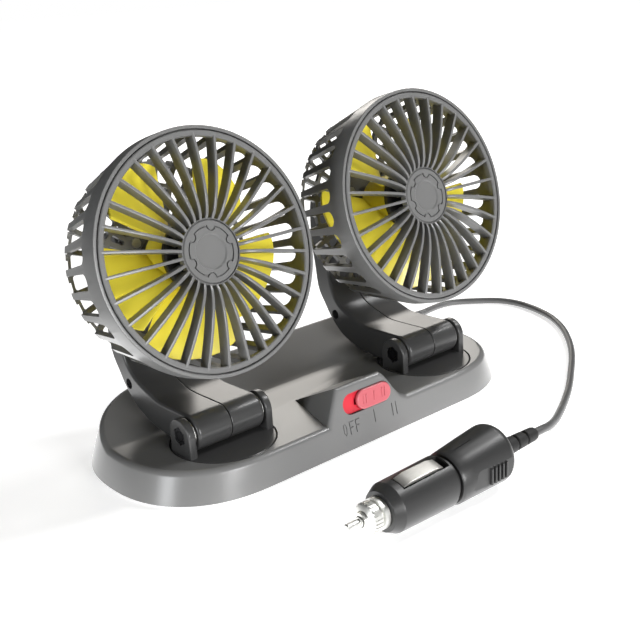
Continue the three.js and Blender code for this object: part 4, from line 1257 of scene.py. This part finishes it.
# Impellers and motors
def make_blade():
    """One swept blade: a line at its root and one at its tip, bridged and given its thickness."""
    drop = BLADE_DEPTH - BLADE_THICKNESS
    steps = 24
    lines = []
    for tip in (False, True):
        line = []
        for i in range(steps + 1):
            share = i / steps
            corner = abs(2 * share - 1) ** 3
            reach = BLADE_TIP_RADIUS + (BLADE_CORNER_RADIUS - BLADE_TIP_RADIUS) * corner
            radius = reach if tip else IMPELLER_HUB_RADIUS - IMPELLER_WALL / 2
            along, across = polar(radius, 90 - BLADE_SPAN * (share - 0.5))
            line.append((along, across, -BLADE_FRONT - 0.1 - drop * share))
        lines.append(line)
    blade = drawn("blade", *lines)
    bpy.ops.mesh.select_all(action="SELECT")
    bpy.ops.mesh.bridge_edge_loops(number_cuts=8, interpolation="LINEAR")
    bpy.ops.mesh.normals_make_consistent(inside=False)
    object_mode()
    thicken = blade.modifiers.new("thicken", "SOLIDIFY")
    thicken.thickness = BLADE_THICKNESS - 0.2
    thicken.offset = 0
    bpy.ops.object.modifier_apply(modifier=thicken.name)
    soften(blade, 0.3, 2, 60)
    return moved(blade, shift(0, 0, -BLADE_THICKNESS / 2))


def make_impeller():
    front = -BLADE_FRONT
    back = front - BLADE_DEPTH
    rim = IMPELLER_HUB_RADIUS
    inner = rim - IMPELLER_WALL
    web = front - IMPELLER_WALL
    socket = front - IMPELLER_WALL / 2
    hub = turned("left_fan_wheel", [
        (CAP_SOCKET_RADIUS, front), (rim, front), (rim, back), (inner, back), (inner, web),
        (BOSS_RADIUS, web), (BOSS_RADIUS, BOSS_FOOT), (SHAFT_RADIUS, BOSS_FOOT), (SHAFT_RADIUS, socket),
        (CAP_SOCKET_RADIUS, socket),
    ], 60, closed=True)
    blades = around(make_blade(), BLADE_COUNT, -BLADE_TURN)
    wheel = joined("left_fan_wheel", [hub, blades])
    return moved(wheel, placed(on_head()))


def make_impeller_cap():
    low, high, edge = IMPELLER_CAP_LOW, IMPELLER_CAP_HIGH, IMPELLER_CAP_EDGE
    cap = turned("left_fan_cap", [
        (0, CAP_STEM_FOOT), (CAP_STEM_RADIUS, CAP_STEM_FOOT), (CAP_STEM_RADIUS, low),
        (IMPELLER_CAP_RADIUS, low), (IMPELLER_CAP_RADIUS, high - edge), (IMPELLER_CAP_RADIUS - edge, high),
        (0, high),
    ], 64)
    return moved(cap, placed(on_head()))


def make_motor():
    """The motor's can, with a bore for its shaft and slots round its middle."""
    foot = CAGE_WALL - HEAD_DEPTH + SEAT
    front = foot + MOTOR_LENGTH
    middle = (foot + front) / 2
    can = turned("left_motor_can", [
        (0, foot), (MOTOR_RADIUS - 0.6, foot), (MOTOR_RADIUS, foot + 0.6), (MOTOR_RADIUS, front - 0.8),
        (MOTOR_RADIUS - 0.8, front), (4, front), (4, front - 0.6), (SHAFT_RADIUS, front - 0.6),
        (SHAFT_RADIUS, middle), (0, middle),
    ], 48)
    for i in range(MOTOR_VENTS):
        vent = upright("vent", slot_outline(7, 1.6, 5), MOTOR_RADIUS - 1.5, MOTOR_RADIUS + 1)
        around_axis = rotation(360 / MOTOR_VENTS * i, "Z")
        carve(can, moved(vent, around_axis @ shift(0, 0, middle) @ rotation(90, "Y")))
    return moved(can, placed(on_head()))


def both_sides(piece, finish, body, slot, node):
    """Finishes the left piece and a copy of it for the right fan."""
    other = copied(piece, shift(TWIN_SHIFT * MILLIMETRE, 0, 0))
    other.name = piece.name.replace("left_", "right_", 1)
    other.data.name = other.name
    for side, made in (("left", piece), ("right", other)):
        finished(made, finish, f"{side}_{body}", slot, f"{side}_{node}")


def make_fans():
    grey = FINISHES["grey_housing"]
    dark = FINISHES["dark_plastic"]
    # The turntables and arm shells take the darker copy of the housing grey, which is painted shade.
    both_sides(make_turntable(), ARM_PAINTED_SHADE_FINISH, "turntable", "grey_housing", "turntable")
    both_sides(arm_half(-1), ARM_PAINTED_SHADE_FINISH, "head", "grey_housing", "arm_left_half")
    both_sides(arm_half(1), ARM_PAINTED_SHADE_FINISH, "head", "grey_housing", "arm_right_half")
    both_sides(make_cage(), grey, "head", "grey_housing", "rear_cage")
    both_sides(make_grille(), grey, "head", "grey_housing", "front_grille")
    both_sides(make_hub_cap(), grey, "head", "grey_housing", "hub_cap")
    both_sides(make_impeller(), FINISHES["yellow_plastic"], "fan", "yellow_plastic", "impeller")
    both_sides(make_motor(), dark, "head", "dark_plastic", "motor")
    both_sides(make_impeller_cap(), dark, "fan", "dark_plastic", "impeller_cap")


# Plug
def on_plug():
    return shift(PLUG_X, PLUG_Y, PLUG_Z)


def at_contact(side):
    """The frame of a side contact, upper or lower, at the middle of the barrel."""
    return rotation(CONTACT_TURN + 180 * side, "X") @ shift(CONTACT_TRAVEL - PLUG_BARREL_LENGTH / 2, 0, 0)


def make_plug_barrel():
    """The barrel, with a sunk collar and a spigot that goes into the handle."""
    nose = -PLUG_BARREL_LENGTH
    collar = PLUG_RADIUS - COLLAR_SINK
    slim = PLUG_RADIUS - PLUG_TAPER
    full = PLUG_RADIUS + PLUG_TAPER
    barrel = turned("plug_body", [
        (0, nose), (slim - PLUG_NOSE / 2, nose), (slim, nose + PLUG_NOSE), (full, COLLAR_START - 0.3),
        (collar, COLLAR_START), (collar, 0), (SPIGOT_RADIUS, 0), (SPIGOT_RADIUS, SPIGOT_LENGTH),
        (0, SPIGOT_LENGTH),
    ], 48, ALONG_X)
    soften(barrel, 0.25, 2, 20)
    carve(barrel, disc("neck", NUT_SHANK_RADIUS + SEAT, nose - 1, nose + PLUG_NOSE + SEAT, 32, ALONG_X))
    carve(barrel, disc("bore", CHAMBER_RADIUS, nose - 1, -SHELL_WALL, 24, ALONG_X))
    near, far = -CONTACT_LENGTH / 2 - POCKET_PLAY, CONTACT_LENGTH / 2 + POCKET_BACK
    half = CONTACT_WIDTH / 2 + POCKET_PLAY
    for side in (0, 1):
        pocket = block("pocket", (near, -half, POCKET_FLOOR), (far, half, POCKET_TOP))
        carve(barrel, moved(pocket, at_contact(side)))
    moved(barrel, placed(on_plug()))
    return finished(barrel, PLUG_FINISH, "base", "dark_plastic", "plug_barrel")


def make_side_plates():
    """The two spring contacts, flat on top and falling to both ends."""
    half = CONTACT_LENGTH / 2
    flat = half * CONTACT_FLAT_SHARE
    top = PLUG_RADIUS + CONTACT_RISE
    view = [
        (-half, CONTACT_FOOT), (half, CONTACT_FOOT), (half, CONTACT_END), (flat, top), (-flat, top),
        (-half, CONTACT_END),
    ]
    for side in (0, 1):
        section = [(x, -CONTACT_WIDTH / 2, z) for x, z in view]
        plate = extruded(f"side_plate_{side + 1}", section, (0, CONTACT_WIDTH, 0))
        soften(plate, 0.15, 2, 20)
        moved(plate, placed(on_plug() @ at_contact(side)))
        finished(plate, CONTACT_FINISH, f"side_contact_{side + 1}", "steel", f"side_contact_{side + 1}")


def handle_rings():
    """Place, radius and lift of the rings that the handle is drawn out by."""
    rise = PLUG_HANDLE_END - PLUG_HANDLE_START
    low = PLUG_HANDLE_START - PLUG_RADIUS - CONTACT_RISE
    rings = [(SEAT, PLUG_HANDLE_START - rise / 2, low), (PLUG_HANDLE_LEAD, PLUG_HANDLE_START, low)]
    for i in range(1, 7):
        share = i / 6
        grown = rise * (1.12 * share - 0.12 * share ** 2)
        x = PLUG_HANDLE_LEAD + (PLUG_HANDLE_LENGTH - PLUG_HANDLE_LEAD) * share
        rings.append((x, PLUG_HANDLE_START + grown, low + grown))
    return rings


def make_plug_handle():
    """The handle is drawn out ring by ring: it grows and rises towards the cord."""
    rings = handle_rings()
    start, radius, lift = rings[0]
    handle = drawn("plug_grip", [(start, y, z + lift) for y, z in arc(0, 0, radius, 0, 354, 59)])
    bpy.ops.mesh.select_all(action="SELECT")
    bpy.ops.mesh.edge_face_add()
    for before, after in zip(rings, rings[1:]):
        step = (after[0] - before[0], 0, after[2] - before[2])
        bpy.ops.mesh.extrude_region_move(TRANSFORM_OT_translate={"value": step})
        grow = after[1] / before[1]
        bpy.ops.transform.resize(value=(1, grow, grow), center_override=(after[0], 0, after[2]))
    tidy_skin()
    select_faces(handle, lambda centre, normal: normal.x > 0.9)
    bpy.ops.mesh.bevel(offset=PLUG_END_ROUND, segments=8, affect="EDGES")
    object_mode()
    shape_grip(handle)
    root = PLUG_HANDLE_LENGTH - RELIEF_ROOT
    end = PLUG_HANDLE_LENGTH + 1
    carve(handle, disc("barrel_socket", SPIGOT_RADIUS + SEAT, -1, SPIGOT_LENGTH + SEAT, 32, ALONG_X))
    carve(handle, disc("sleeve_socket", RELIEF_NECK + SEAT, root - SEAT, end, 32, ALONG_X))
    carve(handle, disc("cord_channel", CORD_RADIUS + SEAT, 12, root + 1, 24, ALONG_X))
    moved(handle, placed(on_plug()))
    return finished(handle, PLUG_FINISH, "base", "dark_plastic", "plug_handle")


def shape_grip(handle):
    """The mould line on top, and on each side a sunk panel with grip bars."""
    line = block("mould_line", (2, -1.4, 10.9), (PLUG_HANDLE_LENGTH - 6, -1, 11.6))
    carve(handle, moved(line, rotation(-MOULD_LINE_FALL, "Y")))
    for side in (-1, 1):
        panel = upright("grip_panel", rounded(GRIP_PANEL, GRIP_PANEL_ROUND, 6), 0, 6)
        carve(handle, moved(panel, shift(0, side * GRIP_PANEL_SIDE, 0) @ rotation(-side * 90, "X")))
    for side in (-1, 1):
        y = side * GRIP_BAR_SIDE
        for i in range(GRIP_BARS):
            x = GRIP_BAR_START + GRIP_BAR_PITCH * i
            low = (x, y - GRIP_BAR_HALF, GRIP_BAR_LOW)
            bar = block("grip_bar", low, (x + 1, y + GRIP_BAR_HALF, GRIP_BAR_HIGH))
            carve(handle, soften(bar, 0.3, 2), "UNION")


def make_plug_relief():
    """The ribbed sleeve where the cord leaves the plug."""
    start = PLUG_HANDLE_LENGTH + SEAT
    end = PLUG_HANDLE_LENGTH + PLUG_RELIEF_LENGTH
    root = start - RELIEF_ROOT
    pitch = (end - start) / RELIEF_RIBS
    last = RELIEF_RIBS - 1
    profile = [(0, root), (RELIEF_NECK, root), (RELIEF_NECK, start)]
    for i in range(RELIEF_RIBS):
        outer = PLUG_RELIEF_RADIUS - (PLUG_RELIEF_RADIUS - PLUG_RELIEF_TIP) * i / last
        base = start + pitch * i
        profile += [(outer - 0.3, base), (outer, base + 0.4), (outer - 0.15, base + pitch - 1.3)]
        if i < last:
            profile += [(outer - 0.4, base + pitch - 1.1), (outer - 1, base + pitch - 1)]
            profile += [(outer - 1, base + pitch)]
    profile += [(PLUG_RELIEF_TIP - 0.5, end), (0, end)]
    sleeve = turned("plug_sleeve", profile, 40, ALONG_X)
    carve(sleeve, disc("cord_bore", CORD_RADIUS + SEAT, root - 1, end + 1, 24, ALONG_X))
    moved(sleeve, placed(on_plug()))
    return finished(sleeve, FINISHES["black_rubber"], "base", "black_rubber", "plug_relief")


def make_plug_nut():
    """The knurled nut that holds the tip."""
    nose = -PLUG_BARREL_LENGTH
    front = nose - PLUG_NUT_LENGTH
    rim = PLUG_NUT_RADIUS
    shank = NUT_SHANK_RADIUS
    bore = PIN_RADIUS + SEAT
    nut = turned("plug_tip_nut", [
        (bore, front), (3.4, front), (3.7, front + 1.6), (5.6, front + 2.4), (rim - 0.2, front + 3),
        (rim - 0.2, front + 6), (rim - 1, front + 6.4), (rim - 1, front + 7), (rim, front + 7.3),
        (rim, nose - SEAT), (shank, nose - SEAT), (shank, nose + PLUG_NOSE),
        (CHAMBER_RADIUS, nose + PLUG_NOSE), (CHAMBER_RADIUS, front + 2), (bore, front + 2),
    ], 48, ALONG_X, closed=True)
    groove = block("knurl", (front + 2.6, -0.3, rim - 0.6), (front + 6.2, 0.3, rim + 1))
    carve(nut, around(groove, 24, 0, "X"))
    moved(nut, placed(on_plug()))
    return finished(nut, FINISHES["steel"], "base", "steel", "plug_nut")


def make_plug_pin():
    """The tip: a waist near its foot, then a collar that the spring presses on."""
    front = -PLUG_BARREL_LENGTH - PLUG_NUT_LENGTH
    tip = front - PIN_REACH
    near, far = front + 2.3, front + 4.3
    pin = turned("plug_tip_pin", [
        (0, tip), (1.3, tip), (1.7, tip + 0.4), (1.7, front - 1.6), (1.4, front - 1.4), (1.4, front - 0.6),
        (PIN_RADIUS, front - 0.4), (PIN_RADIUS, near), (PIN_COLLAR_RADIUS, near), (PIN_COLLAR_RADIUS, far),
        (0, far),
    ], 32, ALONG_X)
    moved(pin, placed(on_plug()))
    return finished(pin, FINISHES["steel"], "plug_pin", "steel", "plug_pin")


def make_grommet():
    """The strain relief in the back wall: a spool through the wall, then a ribbed taper."""
    profile = [
        (0, GROMMET_FOOT), (3.8, GROMMET_FOOT), (3.8, -4), (GROMMET_NECK, -4), (GROMMET_NECK, 1.5),
        (GROMMET_FLANGE, 1.5), (GROMMET_FLANGE, 2.4),
    ]
    for i in range(GROMMET_RIBS):
        outer = 3.7 - 0.4 * i
        base = 2.7 + 2 * i
        profile += [(outer, base), (outer - 0.1, base + 1.3)]
        profile += [(outer - 0.8, base + 1.4), (outer - 0.8, base + 2)]
    profile += [(CORD_RADIUS + 2 * SEAT, GROMMET_LENGTH), (0, GROMMET_LENGTH)]
    relief = turned("cord_relief", profile, 40)
    moved(relief, placed(on_cord_exit()))
    return finished(relief, FINISHES["black_rubber"], "base", "black_rubber", "cord_grommet")


def make_plug():
    """Returns the pieces that hang on the cord."""
    barrel = make_plug_barrel()
    make_side_plates()
    return [barrel, make_plug_handle(), make_plug_relief(), make_plug_nut(), make_plug_pin(), make_grommet()]


def dress_cad():
    """The pieces that keep their CAD shape get their finish by slot."""
    slots = {entry["node"]: entry["material_slot"] for entry in frame["record"]["subparts"]}
    for name, node in frame["nodes"].items():
        if node.hide_render:
            continue
        node.data.materials.clear()
        node.data.materials.append(FINISHES[slots[name]])


# Floor, backdrop and light
def floor_finish():
    """A pale floor with a small light table under the object; seen, it runs out into white."""
    finish = Finish("pale_floor")
    place = finish.place()
    seen = finish.seen_by("Camera")
    middle = finish.node("ShaderNodeVectorMath", {"operation": "LENGTH"}, {0: place}, output=1)
    far = finish.node("ShaderNodeMapRange", None, {"Value": middle, "From Min": 0.25, "From Max": 1.2})
    shrink = (1 / LIGHT_TABLE_SIZE[0], 1 / LIGHT_TABLE_SIZE[1], 0)
    table = finish.node("ShaderNodeVectorMath", {"operation": "MULTIPLY"}, {0: place, 1: shrink})
    from_table = finish.node("ShaderNodeVectorMath", {"operation": "LENGTH"}, {0: table}, output=1)
    lit = finish.node("ShaderNodeMapRange", None, {
        "Value": from_table, "From Min": 0.9, "From Max": 1.3, "To Min": 1.0, "To Max": 0.06,
    })
    shown = (far * (1 - FLOOR_NEAR) + FLOOR_NEAR) * (1 / LIGHT_TABLE_GLOW)
    finish.set(
        base_color=finish.mix(finish.noise(8.0), colour("f0f0f0"), colour("f4f4f4")),
        roughness=0.9,
        emission_color=finish.mix(seen * shown + (1 - seen) * lit, colour("000000"), colour("ffffff")),
        emission_strength=LIGHT_TABLE_GLOW,
    )
    return finish.material


def make_stage():
    object_mode()
    bpy.ops.object.select_all(action="DESELECT")
    bpy.ops.mesh.primitive_plane_add(size=FLOOR_SIZE, location=(0, 0, FLOOR_Z))
    floor = bpy.context.object
    floor.name = "floor"
    floor.data.materials.append(floor_finish())


def soft_lamp(name, place, size, power, tint):
    bpy.ops.object.light_add(type="AREA", location=place)
    lamp = bpy.context.object
    lamp.name = name
    lamp.data.shape = "RECTANGLE"
    lamp.data.size, lamp.data.size_y = size
    lamp.data.energy = power
    lamp.data.color = tint
    aim = Vector(LAMP_AIM) - Vector(place)
    lamp.rotation_euler = aim.to_track_quat("-Z", "Y").to_euler()


def make_light():
    """The front lamp looks straight into the fans, and the others light them from behind and the sides."""
    for name, (place, size, power, tint) in LAMPS.items():
        soft_lamp(name, place, size, power, tint)


def make_world():
    """White to the camera and through glass, a faint glow in gloss, and dark to all else."""
    world = bpy.data.worlds.new("studio")
    bpy.context.scene.world = world
    world.use_nodes = True
    sky = Nodes(world.node_tree)
    back = sky.tree.nodes["Background"]
    larger = {"operation": "MAXIMUM"}
    shown = sky.node("ShaderNodeMath", larger, {0: sky.seen_by("Camera"), 1: sky.seen_by("Transmission")})
    strength = sky.node("ShaderNodeMath", larger, {0: shown, 1: sky.seen_by("Glossy") * WORLD_GLOSS})
    sky.plug(back.inputs["Color"], (1, 1, 1, 1))
    sky.plug(back.inputs["Strength"], strength)


make_camera()
cord, cord_start, cord_length = make_cord()
make_base()
make_switch()
make_knob()
make_fans()
on_cord = make_plug()
dress_cad()
make_stage()
make_light()
make_world()
bpy.context.scene.view_settings.view_transform = "Standard"
